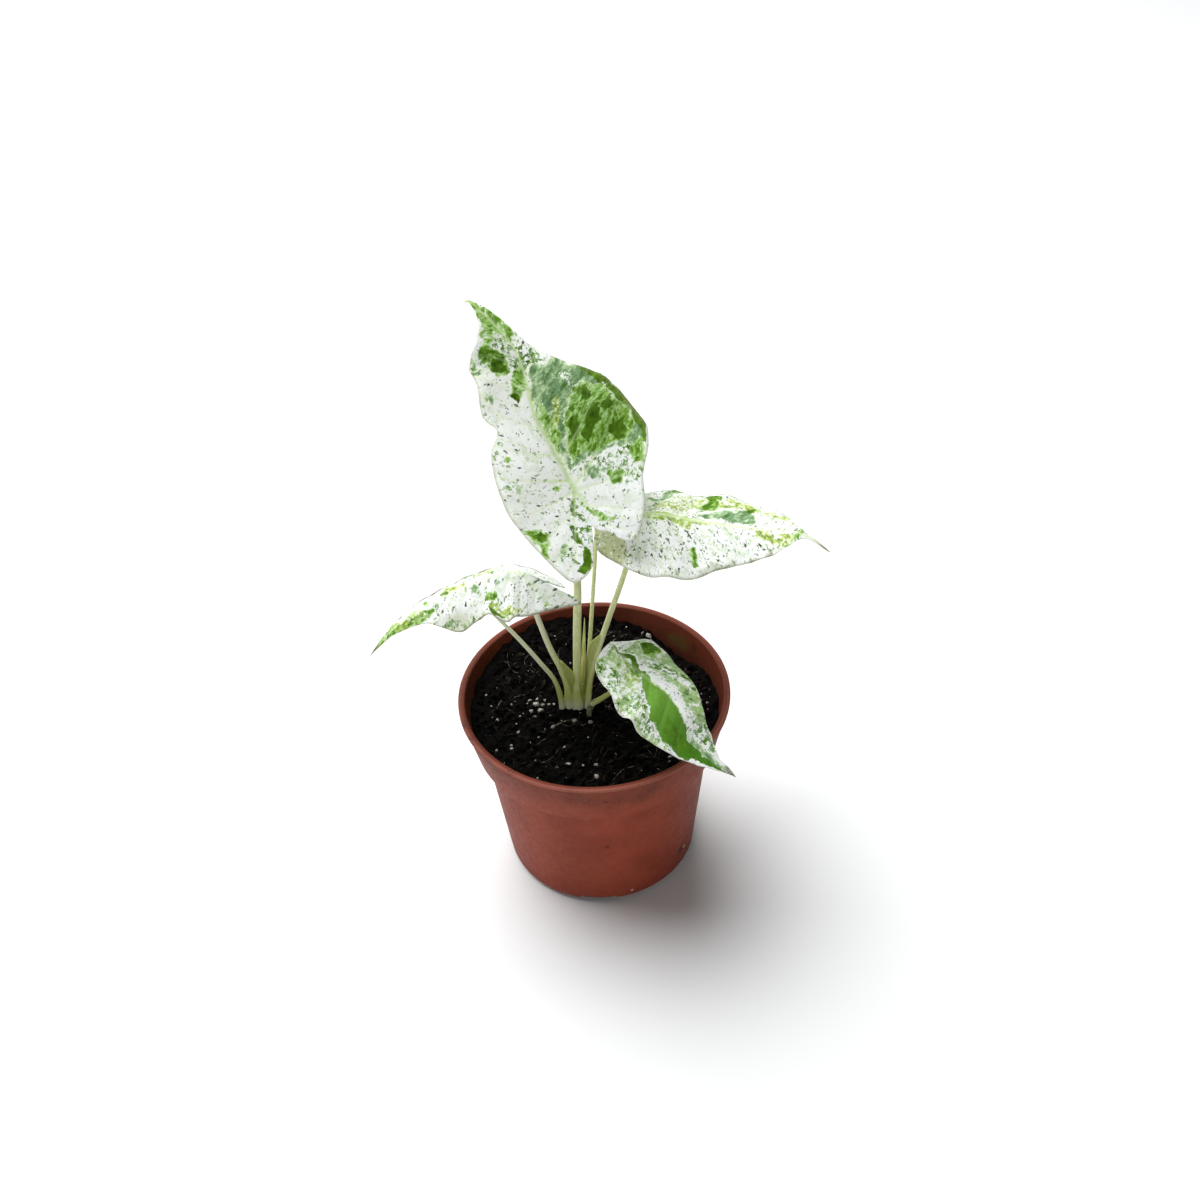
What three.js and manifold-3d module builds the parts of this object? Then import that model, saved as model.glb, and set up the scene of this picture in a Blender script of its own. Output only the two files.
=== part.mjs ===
// Potted variegated giant taro: a young aroid with six splashed, arrow-shaped leaves and one rolled new
// leaf, standing in soil in a terracotta-coloured plastic nursery pot.
//
// Millimetres, +Z up. The origin is the middle of the pot's flat foot, on the surface it stands on.
// The plant's best side faces -Y, and +X is to the right from there.

import * as THREE from 'three';
import { mergeVertices } from 'three/addons/utils/BufferGeometryUtils.js';
import Module from 'manifold-3d';

const wasm = await Module();
wasm.setup();

// Clearance between pieces that touch on the real thing
const GAP = 0.3;
// Points closer than this are one point
const WELD_DISTANCE = 1e-4;

// Pot
const POT_HEIGHT = 93.4;
const RIM_RADIUS = 60;
const LIP_WIDTH = 3;
const LIP_HEIGHT = 1.6;
const LIP_ROUNDING = 0.5;
const COLLAR_TOP_RADIUS = 59.3;
const COLLAR_BOTTOM_RADIUS = 54.6;
const COLLAR_HEIGHT = 23.7;
const COLLAR_STEP = 0.5;
const KNEE_HEIGHT = POT_HEIGHT - COLLAR_HEIGHT;
const BODY_TOP_RADIUS = 51.1;
const BODY_FOOT_RADIUS = 43.9;
const WALL = 1.6;
const WALL_LIFT = 2.6;
const FOOT_RADIUS = 39.5;
const FOOT_SLOPE = 1;
const FLOOR_THICKNESS = 1.8;
const POT_SEGMENTS = 60;
const DRAIN_COUNT = 4;
const DRAIN_WIDTH = 16;
const DRAIN_HEIGHT = 4;
const DRAIN_DEPTH = 7;
const DRAIN_TURN = -94;
const POT_COLOUR = 0xa8503c;

// Soil: its level in the middle and where it meets the wall, higher at the back left, with a dip at the
// back right
const SOIL_LEVEL = 83.5;
const SOIL_BACK_RISE = 6.5;
const SOIL_BACK_TURN = 115;
const SOIL_BACK_SPREAD = 45;
const SOIL_DIP = 7;
const SOIL_DIP_TURN = 42;
const SOIL_DIP_SPREAD = 17;
const SOIL_LUMP = 0.7;
const SOIL_CLEARANCE = 0.4;
const SOIL_RINGS = 12;
const SOIL_SEGMENTS = 54;
const SOIL_COLOUR = 0x1d1612;

// Rootstock: the short stem that carries the leaves, set in a plain hole in the soil
const CROWN_X = -7;
const CROWN_Y = 0;
const CROWN_RADIUS = 9.5;
const CROWN_TOP = 84.6;
const CROWN_DEPTH = 30;
const CROWN_EDGE = 0.6;
const CROWN_SEGMENTS = 36;
const CROWN_COLOUR = 0x6b5a3c;

// Stub of a fallen leaf on the rootstock, measured from the rootstock's middle
const STUB_X = 4.4;
const STUB_Y = -6;
const STUB_RADIUS = 1.3;
const STUB_TOP = 88;
const STUB_SUNK = 3;
const STUB_SIDES = 10;

// Petioles: routes of their centre lines from the rootstock to the blades, oldest leaves outside.
// The last stretch to the blade is worked out from the blade itself.
const PETIOLES = [
  {
    leaf: 'leaf_1',
    baseRadius: 2,
    topRadius: 1.6,
    route: [[-7.4, 0, 84.9], [-7.2, 0.3, 92], [-5.9, 2, 121], [-4.5, 4, 151]],
  },
  {
    leaf: 'leaf_2',
    baseRadius: 1.45,
    topRadius: 1.1,
    route: [[-11.5, 0.4, 84.9], [-12.6, 0.3, 94], [-15.5, 0, 106], [-19.1, -1.5, 125], [-22.5, -3, 143]],
  },
  {
    leaf: 'leaf_3',
    baseRadius: 1.5,
    topRadius: 1.1,
    route: [[-3.4, 0, 84.9], [-2.4, 0.2, 92], [2, 1.5, 107], [9.1, 4, 132], [16.2, 7, 155]],
  },
  {
    leaf: 'leaf_4',
    baseRadius: 1.1,
    topRadius: 0.9,
    route: [[-0.6, -1.4, 84.9], [0.8, -2, 89.5], [3.5, -3, 92.5], [7, -4.6, 95.5], [11.2, -7, 103],
      [12.6, -9.5, 114], [10.8, -12, 124]],
  },
  {
    leaf: 'leaf_5',
    baseRadius: 1.1,
    topRadius: 0.8,
    route: [[-14.4, -0.8, 84.9], [-15.8, -0.5, 91], [-18.4, 0, 100.5], [-22.9, 1, 109.5], [-30.4, 3, 122],
      [-38.2, 5, 132.3]],
  },
  {
    leaf: 'leaf_6',
    baseRadius: 1,
    topRadius: 0.8,
    route: [[-5.6, 3.2, 84.9], [-4.6, 3.4, 90.5], [-2, 5, 104], [1.6, 11, 136], [4.2, 21, 157],
      [5.6, 27.5, 173]],
  },
];
const PETIOLE_SIDES = 8;
const PETIOLE_STEPS = 16;
const PETIOLE_COLOUR = 0xc3c7a0;

// Rolled new leaf, a spike between the two tallest petioles
const SPIKE_ROUTE = [[-5.6, -2.9, 84.9], [-4.8, -2.8, 96], [-3.3, -2.4, 119], [-2.1, -1.8, 137]];
const SPIKE_RADIUS = 1.1;
const SPIKE_TIP_RADIUS = 0.3;
const SPIKE_STEPS = 8;
const SPIKE_COLOUR = 0xb9c36a;

// Blades. The spine runs from behind the base lobes through the point where the petiole joins, its second
// point, to the tip. Each margin is an outline of the flat blade as [along, out]: along the midrib from the
// petiole towards the tip, and out from the midrib, going from the tip round the lobe. Left is the left
// hand side when looking towards the tip. The sinus is the end of the cut between the lobes.
// roll tips the blade about its midrib, in degrees, from its base to its tip. fold lifts both halves
// into a V, and curl bends their margins back down, as a share of halfWidth. wave ruffles the margins,
// and a dip lets one stretch of one margin hang down.
const BLADE_THICKNESS = 0.8;
const STRAIGHT_RIB_SHARE = 0.58;
const WAVE_LIMIT = 1.2;
const STEPS_PER_SPAN = 40;
const MARGIN_STEPS = 600;
// Distance over which a blade's slope is measured
const SLOPE_REACH = 0.4;
const BLADES = [
  {
    name: 'leaf_1',
    colour: 0xbccaa4,
    spine: [[6, -13, 176], [-3, 8, 195], [-11, 17, 210], [-17, 24, 221], [-20, 32, 234], [-25, 38, 246],
      [-39, 44, 261]],
    roll: [18, 18],
    fold: 12,
    curl: 0.1,
    halfWidth: 32,
    left: [[80, 3.5], [76, 9], [71, 19], [65, 23], [53, 20], [39, 20.5], [33, 17], [26, 25], [10, 30],
      [-8, 26.5], [-21, 21.5], [-32, 16], [-35, 12], [-32, 5], [-24, 1]],
    right: [[77, 3], [60, 6], [51, 16], [45, 26.5], [38, 33], [13, 38.5], [5, 36], [-4, 28.5], [-15.5, 24.5],
      [-25, 18.7], [-27.3, 14.5], [-25.4, 10.8], [-20.8, 7.3], [-18.5, 3.5]],
    sinus: [-15.5, -1.5],
    fanFrom: 0,
    wave: { height: 0.7, length: 28, start: 0 },
    ribs: 24,
    columns: 5,
  },
  {
    name: 'leaf_2',
    colour: 0xc6d0b4,
    spine: [[-5, -8, 154], [-27, -4, 165], [-40, -6, 165], [-60, -11, 159], [-78, -17, 151], [-90, -22, 140]],
    roll: [1, 2, 6, 10],
    fold: -27,
    curl: 0.05,
    halfWidth: 20,
    left: [[67, 0.8], [60, 2], [52, 4], [45, 6], [40, 10], [35, 13], [29, 14], [23, 15], [18, 15], [13, 19],
      [8, 20.5], [0, 19], [-10, 15.5], [-18, 9.5], [-25, 3.5], [-28, 1], [-25, -2], [-17, -1.5]],
    right: [[66, 1.2], [54, 5], [41, 10.5], [27, 12], [13, 13], [0, 14], [-10, 15.5], [-16, 14.5], [-18, 11],
      [-15, 6]],
    sinus: [-10, 2],
    fanFrom: 0,
    wave: { height: 0.5, length: 19, start: 60 },
    dip: { side: 1, along: 33, reach: 7, from: 7, to: 13, depth: 4 },
    ribs: 22,
    columns: 5,
  },
  {
    name: 'leaf_3',
    colour: 0xc4cdb0,
    spine: [[2, 12, 172], [23, 10, 181], [47, 8, 177], [68, 5, 174], [86, 1, 174], [99, -4, 167]],
    roll: [-10, -10],
    fold: -13,
    curl: 0.06,
    halfWidth: 25,
    left: [[74, 0.8], [68, 1.6], [63, 5], [56, 13], [48, 18], [36, 23], [29, 22.5], [21, 18.8], [14, 20.5],
      [3, 16], [-6, 14], [-15, 11.5], [-21, 7], [-19, 2]],
    right: [[74, 0.6], [68, 1.4], [63, 6], [56, 11.5], [48, 14.5], [34, 21], [23, 26], [14, 27.5], [4, 27.5],
      [-6, 25.5], [-14, 18.5], [-20, 12], [-21.5, 7], [-21, 3], [-17, 0.8]],
    sinus: [-11, 0],
    fanFrom: 0,
    wave: { height: 0.8, length: 21, start: 200 },
    ribs: 22,
    columns: 5,
  },
  {
    name: 'leaf_4',
    colour: 0x9fb482,
    spine: [[7, -10, 134], [9, -14, 132], [19, -24, 125], [30, -33, 121], [36, -42, 116], [41, -49, 108],
      [56, -60, 98]],
    roll: [5, 5],
    fold: 6,
    curl: 0.08,
    halfWidth: 19,
    left: [[71, 1], [65, 2], [56, 7.5], [47, 9], [34, 12.5], [28, 13.8], [20, 16.7], [10, 17.3], [5, 14],
      [2, 7]],
    right: [[71, 2.8], [65, 6.5], [56, 12], [48, 17.3], [41, 21.5], [32, 23], [22, 23.5], [15, 19],
      [6, 15.3], [1.5, 8]],
    sinus: [-1.5, 0],
    fanFrom: 9,
    wave: { height: 0.7, length: 17, start: 90 },
    ribs: 20,
    columns: 5,
  },
  {
    name: 'leaf_5',
    colour: 0xb5c0a0,
    spine: [[-38, 6, 140], [-46, 7, 143.5], [-55, 8, 143], [-63, 8, 139], [-69, 8, 134]],
    roll: [0, 0],
    fold: 8,
    curl: 0.1,
    halfWidth: 8,
    left: [[20, 2], [13, 6], [6, 7], [-2, 5.5], [-6, 3]],
    right: [[20, 2], [13, 6], [6, 7], [-2, 5.5], [-6, 3]],
    sinus: [-3, 0],
    fanFrom: 0,
    wave: { height: 0.3, length: 12, start: 0 },
    ribs: 14,
    columns: 3,
  },
  {
    name: 'leaf_6',
    colour: 0xb9c6a2,
    spine: [[8, 8, 190], [8.5, 20, 193], [11, 34, 191], [14, 48, 184], [17, 60, 173]],
    roll: [0, 0],
    fold: 8,
    curl: 0.12,
    halfWidth: 15,
    left: [[40, 2], [30, 8], [18, 13.5], [6, 15], [-4, 12.5], [-12, 8], [-11, 4]],
    right: [[40, 2], [30, 8], [18, 13.5], [6, 15], [-4, 12.5], [-12, 8], [-11, 4]],
    sinus: [-5, 0],
    fanFrom: 0,
    wave: { height: 0.6, length: 16, start: 40 },
    ribs: 18,
    columns: 4,
  },
];

const radians = THREE.MathUtils.degToRad;

// Solids and meshes

// Joins a geometry's shared vertices, keeping only their positions, and drops triangles with no area.
function weld(geometry) {
  geometry.deleteAttribute('normal');
  geometry.deleteAttribute('uv');
  const merged = mergeVertices(geometry, WELD_DISTANCE);
  const corners = [];
  const index = merged.index.array;
  for (let i = 0; i < index.length; i += 3) {
    const [a, b, c] = [index[i], index[i + 1], index[i + 2]];
    if (a !== b && b !== c && c !== a) {
      corners.push(a, b, c);
    }
  }
  merged.setIndex(corners);
  return merged;
}

function toSolid(geometry) {
  const welded = weld(geometry);
  return new wasm.Manifold(new wasm.Mesh({
    numProp: 3,
    vertProperties: new Float32Array(welded.attributes.position.array),
    triVerts: new Uint32Array(welded.index.array),
  }));
}

function toGeometry(solid) {
  const mesh = solid.getMesh();
  const geometry = new THREE.BufferGeometry();
  geometry.setAttribute('position', new THREE.BufferAttribute(mesh.vertProperties, 3));
  geometry.setIndex(new THREE.BufferAttribute(mesh.triVerts, 1));
  return geometry;
}

function namedMesh(name, geometry, colour, roughness) {
  const material = new THREE.MeshStandardMaterial({ color: colour, roughness, metalness: 0 });
  const mesh = new THREE.Mesh(geometry, material);
  mesh.name = name;
  return mesh;
}

// A lathe about Z from [radius, height] points that start and end on the axis
function latheUp(profile, segments) {
  const points = profile.map(([radius, height]) => new THREE.Vector2(radius, height));
  const geometry = new THREE.LatheGeometry(points, segments);
  geometry.rotateX(Math.PI / 2);
  return geometry;
}

// A round bar that narrows along a route: a cylinder whose rings are set square to the route.
function taperedBar(route, baseRadius, topRadius, steps) {
  const curve = new THREE.CatmullRomCurve3(route);
  const frames = curve.computeFrenetFrames(steps);
  const geometry = new THREE.CylinderGeometry(1, 1, 1, PETIOLE_SIDES, steps);
  const position = geometry.attributes.position;
  for (let i = 0; i < position.count; i += 1) {
    const ring = Math.round((position.getY(i) + 0.5) * steps);
    const radius = THREE.MathUtils.lerp(baseRadius, topRadius, ring / steps);
    const point = curve.getPointAt(ring / steps);
    point.addScaledVector(frames.normals[ring], position.getX(i) * radius);
    point.addScaledVector(frames.binormals[ring], -position.getZ(i) * radius);
    position.setXYZ(i, point.x, point.y, point.z);
  }
  return weld(geometry);
}

// Pot

function potProfile() {
  return [
    [0, 0],
    [FOOT_RADIUS, 0],
    [FOOT_RADIUS + FOOT_SLOPE, WALL_LIFT],
    [BODY_FOOT_RADIUS, WALL_LIFT],
    [BODY_TOP_RADIUS, KNEE_HEIGHT - COLLAR_STEP],
    [COLLAR_BOTTOM_RADIUS, KNEE_HEIGHT],
    [COLLAR_TOP_RADIUS, POT_HEIGHT - LIP_HEIGHT],
    [RIM_RADIUS, POT_HEIGHT - LIP_HEIGHT],
    [RIM_RADIUS, POT_HEIGHT - LIP_ROUNDING],
    [RIM_RADIUS - LIP_ROUNDING, POT_HEIGHT],
    [RIM_RADIUS - LIP_WIDTH, POT_HEIGHT],
    [COLLAR_BOTTOM_RADIUS - WALL, KNEE_HEIGHT + COLLAR_STEP],
    [BODY_TOP_RADIUS - WALL, KNEE_HEIGHT - COLLAR_STEP],
    [BODY_FOOT_RADIUS - WALL, WALL_LIFT + WALL],
    [FOOT_RADIUS - FOOT_SLOPE, FLOOR_THICKNESS],
    [0, FLOOR_THICKNESS],
  ];
}

// Inner radius of the pot's collar at a height
function collarInside(height) {
  const share = (height - KNEE_HEIGHT - COLLAR_STEP) / (COLLAR_HEIGHT - COLLAR_STEP);
  return THREE.MathUtils.lerp(COLLAR_BOTTOM_RADIUS - WALL, RIM_RADIUS - LIP_WIDTH, share);
}

function makePot() {
  let pot = toSolid(latheUp(potProfile(), POT_SEGMENTS));
  for (let i = 0; i < DRAIN_COUNT; i += 1) {
    const cutter = new THREE.BoxGeometry(DRAIN_DEPTH * 2, DRAIN_WIDTH, DRAIN_HEIGHT * 2);
    cutter.translate(BODY_FOOT_RADIUS, 0, 0);
    cutter.rotateZ(radians(DRAIN_TURN + (i * 360) / DRAIN_COUNT));
    pot = pot.subtract(toSolid(cutter));
  }
  return namedMesh('pot', toGeometry(pot), POT_COLOUR, 0.6);
}

// Soil

// Share of a hump that spreads to each side of a direction, in degrees
function hump(turn, middle, spread) {
  const away = ((turn - middle + 540) % 360) - 180;
  return Math.exp(-((away / spread) ** 2));
}

function soilHeight(x, y) {
  const radius = Math.hypot(x, y);
  const turn = THREE.MathUtils.radToDeg(Math.atan2(y, x));
  const edge = (radius / collarInside(SOIL_LEVEL)) ** 3;
  const rise = SOIL_BACK_RISE * hump(turn, SOIL_BACK_TURN, SOIL_BACK_SPREAD);
  const dip = SOIL_DIP * hump(turn, SOIL_DIP_TURN, SOIL_DIP_SPREAD);
  const lumps = Math.sin(x * 0.47 + 1.3) * Math.cos(y * 0.41 - 0.6) + 0.7 * Math.sin(x * 0.83 - y * 0.71);
  return SOIL_LEVEL + edge * (rise - dip) + SOIL_LUMP * lumps;
}

function makeSoil() {
  const edgeRadius = collarInside(SOIL_LEVEL) - SOIL_CLEARANCE;
  const profile = [
    [0, FLOOR_THICKNESS + SOIL_CLEARANCE],
    [FOOT_RADIUS - FOOT_SLOPE - SOIL_CLEARANCE, FLOOR_THICKNESS + SOIL_CLEARANCE],
    [BODY_FOOT_RADIUS - WALL - SOIL_CLEARANCE, WALL_LIFT + WALL + SOIL_CLEARANCE],
    [BODY_TOP_RADIUS - WALL - SOIL_CLEARANCE, KNEE_HEIGHT - COLLAR_STEP],
    [COLLAR_BOTTOM_RADIUS - WALL - SOIL_CLEARANCE, KNEE_HEIGHT + COLLAR_STEP + SOIL_CLEARANCE],
  ];
  for (let ring = SOIL_RINGS; ring >= 0; ring -= 1) {
    profile.push([(edgeRadius * ring) / SOIL_RINGS, SOIL_LEVEL]);
  }
  const geometry = latheUp(profile, SOIL_SEGMENTS);
  const position = geometry.attributes.position;
  for (let i = 0; i < position.count; i += 1) {
    const onTop = position.getZ(i) > SOIL_LEVEL - WELD_DISTANCE;
    if (onTop) {
      const x = position.getX(i);
      const y = position.getY(i);
      const height = soilHeight(x, y);
      const radius = Math.hypot(x, y);
      const atEdge = radius > edgeRadius - WELD_DISTANCE;
      const spread = atEdge ? (collarInside(height) - SOIL_CLEARANCE) / radius : 1;
      position.setXYZ(i, x * spread, y * spread, height);
    }
  }
  const holeBottom = CROWN_TOP - CROWN_DEPTH - GAP;
  const holeHeight = POT_HEIGHT - holeBottom;
  const hole = new THREE.CylinderGeometry(CROWN_RADIUS + GAP, CROWN_RADIUS + GAP, holeHeight, CROWN_SEGMENTS);
  hole.rotateX(Math.PI / 2);
  hole.translate(CROWN_X, CROWN_Y, holeBottom + holeHeight / 2);
  const soil = toSolid(geometry).subtract(toSolid(hole));
  return namedMesh('soil', toGeometry(soil), SOIL_COLOUR, 0.95);
}

// Rootstock with the stub of a fallen leaf

function makeCrown() {
  const profile = [
    [0, CROWN_TOP - CROWN_DEPTH],
    [CROWN_RADIUS * 0.5, CROWN_TOP - CROWN_DEPTH * 0.95],
    [CROWN_RADIUS * 0.85, CROWN_TOP - CROWN_DEPTH * 0.7],
    [CROWN_RADIUS, CROWN_TOP - CROWN_DEPTH * 0.3],
    [CROWN_RADIUS, CROWN_TOP - CROWN_EDGE],
    [CROWN_RADIUS - CROWN_EDGE, CROWN_TOP],
    [0, CROWN_TOP],
  ];
  const body = latheUp(profile, CROWN_SEGMENTS);
  body.translate(CROWN_X, CROWN_Y, 0);
  const stubBottom = CROWN_TOP - STUB_SUNK;
  const stub = new THREE.CylinderGeometry(STUB_RADIUS * 0.85, STUB_RADIUS, STUB_TOP - stubBottom, STUB_SIDES);
  stub.rotateX(Math.PI / 2);
  stub.translate(CROWN_X + STUB_X, CROWN_Y + STUB_Y, (STUB_TOP + stubBottom) / 2);
  return namedMesh('rootstock', toGeometry(toSolid(body).add(toSolid(stub))), CROWN_COLOUR, 0.85);
}

// Leaf blades

// How far a dip lets the blade hang at a point
function hangAt(dip, along, out) {
  if (!dip || dip.side * out <= 0) {
    return 0;
  }
  const outward = THREE.MathUtils.smoothstep(Math.abs(out), dip.from, dip.to);
  return dip.depth * outward * Math.exp(-(((along - dip.along) / dip.reach) ** 2));
}

// Puts the flat blade on its spine: returns functions for a point of the mid surface, and for its facing.
function bladeSurface(blade) {
  const points = blade.spine.map((point) => new THREE.Vector3(...point));
  const curve = new THREE.CatmullRomCurve3(points, false, 'catmullrom');
  curve.arcLengthDivisions = STEPS_PER_SPAN * (points.length - 1);
  const lengths = curve.getLengths();
  const total = lengths[lengths.length - 1];
  const behind = lengths[STEPS_PER_SPAN];

  function point(along, out) {
    const travel = (along + behind) / total;
    const share = THREE.MathUtils.clamp(travel, 0, 1);
    const tangent = curve.getTangentAt(share);
    const level = new THREE.Vector3(-tangent.y, tangent.x, 0).normalize();
    const up = new THREE.Vector3().crossVectors(tangent, level);
    const span = share * (blade.roll.length - 1);
    const before = Math.min(Math.floor(span), blade.roll.length - 2);
    const roll = radians(THREE.MathUtils.lerp(blade.roll[before], blade.roll[before + 1], span - before));
    const across = level.clone().multiplyScalar(Math.cos(roll)).addScaledVector(up, -Math.sin(roll));
    const facing = up.clone().multiplyScalar(Math.cos(roll)).addScaledVector(level, Math.sin(roll));
    const outward = Math.abs(out) / blade.halfWidth;
    const turn = (2 * Math.PI * along) / blade.wave.length + radians(blade.wave.start);
    const lift = Math.abs(out) * Math.sin(radians(blade.fold))
      - blade.curl * blade.halfWidth * outward ** 2
      + blade.wave.height * Math.min(outward, WAVE_LIMIT) ** 2 * Math.sin(turn)
      - hangAt(blade.dip, along, out);
    return curve.getPointAt(share)
      .addScaledVector(tangent, (travel - share) * total)
      .addScaledVector(across, out * Math.cos(radians(blade.fold)))
      .addScaledVector(facing, lift);
  }

  function facingAt(along, out) {
    const forward = point(along + SLOPE_REACH, out).sub(point(along - SLOPE_REACH, out));
    const leftward = point(along, out + SLOPE_REACH).sub(point(along, out - SLOPE_REACH));
    return forward.cross(leftward).normalize();
  }

  return { point, facingAt, length: total - behind };
}

// One half's margin as [along, out] pairs, one for each rib. Ribs run square to the midrib from the tip to
// fanFrom, and then fan out round the lobe to the sinus.
function marginStations(blade, side, length) {
  const outline = side > 0 ? blade.left : blade.right;
  const signed = outline.map(([along, out]) => new THREE.Vector2(along, side * out));
  const curve = new THREE.SplineCurve([
    new THREE.Vector2(length, 0),
    ...signed,
    new THREE.Vector2(...blade.sinus),
  ]);
  const margin = curve.getSpacedPoints(MARGIN_STEPS);
  const turnAt = margin.findIndex((point) => point.x <= blade.fanFrom);
  const straightRibs = Math.round(blade.ribs * STRAIGHT_RIB_SHARE);
  const stations = [];
  for (let rib = 0; rib < straightRibs; rib += 1) {
    const along = THREE.MathUtils.lerp(length, blade.fanFrom, rib / straightRibs);
    const at = Math.max(margin.findIndex((point) => point.x <= along), 1);
    const [before, after] = [margin[at - 1], margin[at]];
    const share = (before.x - along) / Math.max(before.x - after.x, 1e-9);
    const out = THREE.MathUtils.lerp(before.y, after.y, THREE.MathUtils.clamp(share, 0, 1));
    stations.push({ from: along, along, out });
  }
  for (let rib = straightRibs; rib <= blade.ribs; rib += 1) {
    const share = (rib - straightRibs) / (blade.ribs - straightRibs);
    const at = Math.round(THREE.MathUtils.lerp(turnAt, MARGIN_STEPS, share));
    stations.push({ from: blade.fanFrom, along: margin[at].x, out: margin[at].y });
  }
  return stations;
}

function makeBlade(blade) {
  const surface = bladeSurface(blade);
  const positions = [];
  const quad = (a, b, c, d) => {
    [a, b, c, a, c, d].forEach((corner) => positions.push(corner.x, corner.y, corner.z));
  };
  for (const side of [1, -1]) {
    const stations = marginStations(blade, side, surface.length);
    const rows = stations.map((station) => {
      const row = [];
      for (let column = 0; column <= blade.columns; column += 1) {
        const share = column / blade.columns;
        const along = THREE.MathUtils.lerp(station.from, station.along, share);
        const out = station.out * share;
        const middle = surface.point(along, out);
        const facing = surface.facingAt(along, out);
        row.push({
          top: middle.clone().addScaledVector(facing, BLADE_THICKNESS / 2),
          under: middle.clone().addScaledVector(facing, -BLADE_THICKNESS / 2),
        });
      }
      return row;
    });
    for (let rib = 0; rib < rows.length - 1; rib += 1) {
      for (let column = 0; column < blade.columns; column += 1) {
        const corners = [rows[rib][column], rows[rib][column + 1], rows[rib + 1][column + 1],
          rows[rib + 1][column]];
        const [a, b, c, d] = side > 0 ? corners : [corners[3], corners[2], corners[1], corners[0]];
        quad(a.top, b.top, c.top, d.top);
        quad(c.under, b.under, a.under, d.under);
      }
      const here = rows[rib][blade.columns];
      const next = rows[rib + 1][blade.columns];
      const [from, to] = side > 0 ? [here, next] : [next, here];
      quad(from.top, from.under, to.under, to.top);
    }
  }
  const geometry = new THREE.BufferGeometry();
  geometry.setAttribute('position', new THREE.Float32BufferAttribute(positions, 3));
  return namedMesh(`${blade.name}_blade`, weld(geometry), blade.colour, 0.45);
}

// Petioles

function makePetiole(petiole) {
  const blade = BLADES.find((candidate) => candidate.name === petiole.leaf);
  const surface = bladeSurface(blade);
  const joint = surface.point(0, 0);
  const facing = surface.facingAt(0, 0);
  const last = new THREE.Vector3(...petiole.route[petiole.route.length - 1]);
  const heading = joint.clone().sub(last).normalize();
  const slant = Math.sqrt(Math.max(0, 1 - heading.dot(facing) ** 2));
  const standOff = BLADE_THICKNESS / 2 + GAP * 1.5 + petiole.topRadius * slant;
  const end = joint.clone().addScaledVector(facing, -standOff);
  const route = petiole.route.map((point) => new THREE.Vector3(...point));
  route.push(end);
  const bar = taperedBar(route, petiole.baseRadius, petiole.topRadius, PETIOLE_STEPS);
  return namedMesh(`${petiole.leaf}_petiole`, bar, PETIOLE_COLOUR, 0.5);
}

function makeSpike() {
  const route = SPIKE_ROUTE.map((point) => new THREE.Vector3(...point));
  const bar = taperedBar(route, SPIKE_RADIUS, SPIKE_TIP_RADIUS, SPIKE_STEPS);
  return namedMesh('new_leaf_spike', bar, SPIKE_COLOUR, 0.5);
}

const plant = new THREE.Group();
plant.add(makeCrown(), makeSpike());
plant.add(...PETIOLES.map(makePetiole));
plant.add(...BLADES.map(makeBlade));

const model = new THREE.Group();
model.add(makePot(), makeSoil(), plant);

export default model;
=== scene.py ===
"""Potted splash giant taro in a terracotta-coloured nursery pot, on a plain pale floor.

The frame's pot, soil, rootstock, petioles and blades are replaced by finer pieces of the same form: veined
and splashed blades, channelled petioles with sheaths, crumbly soil with bark, fibres and perlite, and a
turned pot with a rounded lip and dirt. Lengths are written in millimetres and scaled where they are used.
"""

import math
import random

import bpy
import numpy as np
from mathutils import Matrix, Vector, noise


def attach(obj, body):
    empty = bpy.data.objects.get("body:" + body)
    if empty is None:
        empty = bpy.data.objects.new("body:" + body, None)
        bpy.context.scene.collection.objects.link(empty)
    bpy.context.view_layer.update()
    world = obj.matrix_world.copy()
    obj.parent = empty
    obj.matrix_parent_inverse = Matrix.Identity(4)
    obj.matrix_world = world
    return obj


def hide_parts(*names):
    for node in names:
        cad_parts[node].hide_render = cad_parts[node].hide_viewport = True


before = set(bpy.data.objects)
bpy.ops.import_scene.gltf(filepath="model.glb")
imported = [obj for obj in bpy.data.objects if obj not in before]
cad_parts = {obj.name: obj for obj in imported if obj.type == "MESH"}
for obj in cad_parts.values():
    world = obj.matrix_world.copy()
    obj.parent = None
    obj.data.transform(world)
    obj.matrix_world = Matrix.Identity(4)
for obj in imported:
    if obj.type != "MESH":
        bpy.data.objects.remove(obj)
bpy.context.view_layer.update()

MM = 0.001
BODY = "root"
rng = random.Random(41)
noise.seed_set(23)

# Pot, in the same sizes as the frame
POT_HEIGHT = 93.4
RIM_RADIUS = 60
LIP_WIDTH = 3
LIP_HEIGHT = 1.6
LIP_ROUNDING = 0.6
COLLAR_TOP_RADIUS = 59.3
COLLAR_BOTTOM_RADIUS = 54.6
KNEE_HEIGHT = 69.7
KNEE_ROUNDING = 0.9
BODY_TOP_RADIUS = 51.1
BODY_FOOT_RADIUS = 43.9
WALL = 1.6
WALL_LIFT = 2.6
FOOT_RADIUS = 39.5
FLOOR_THICKNESS = 1.8
DRAIN_COUNT = 4
DRAIN_WIDTH = 16
DRAIN_HEIGHT = 4
DRAIN_CUT = 14
DRAIN_TURN = -94
POT_SEGMENTS = 288
SHARP_ANGLE = 38

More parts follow.
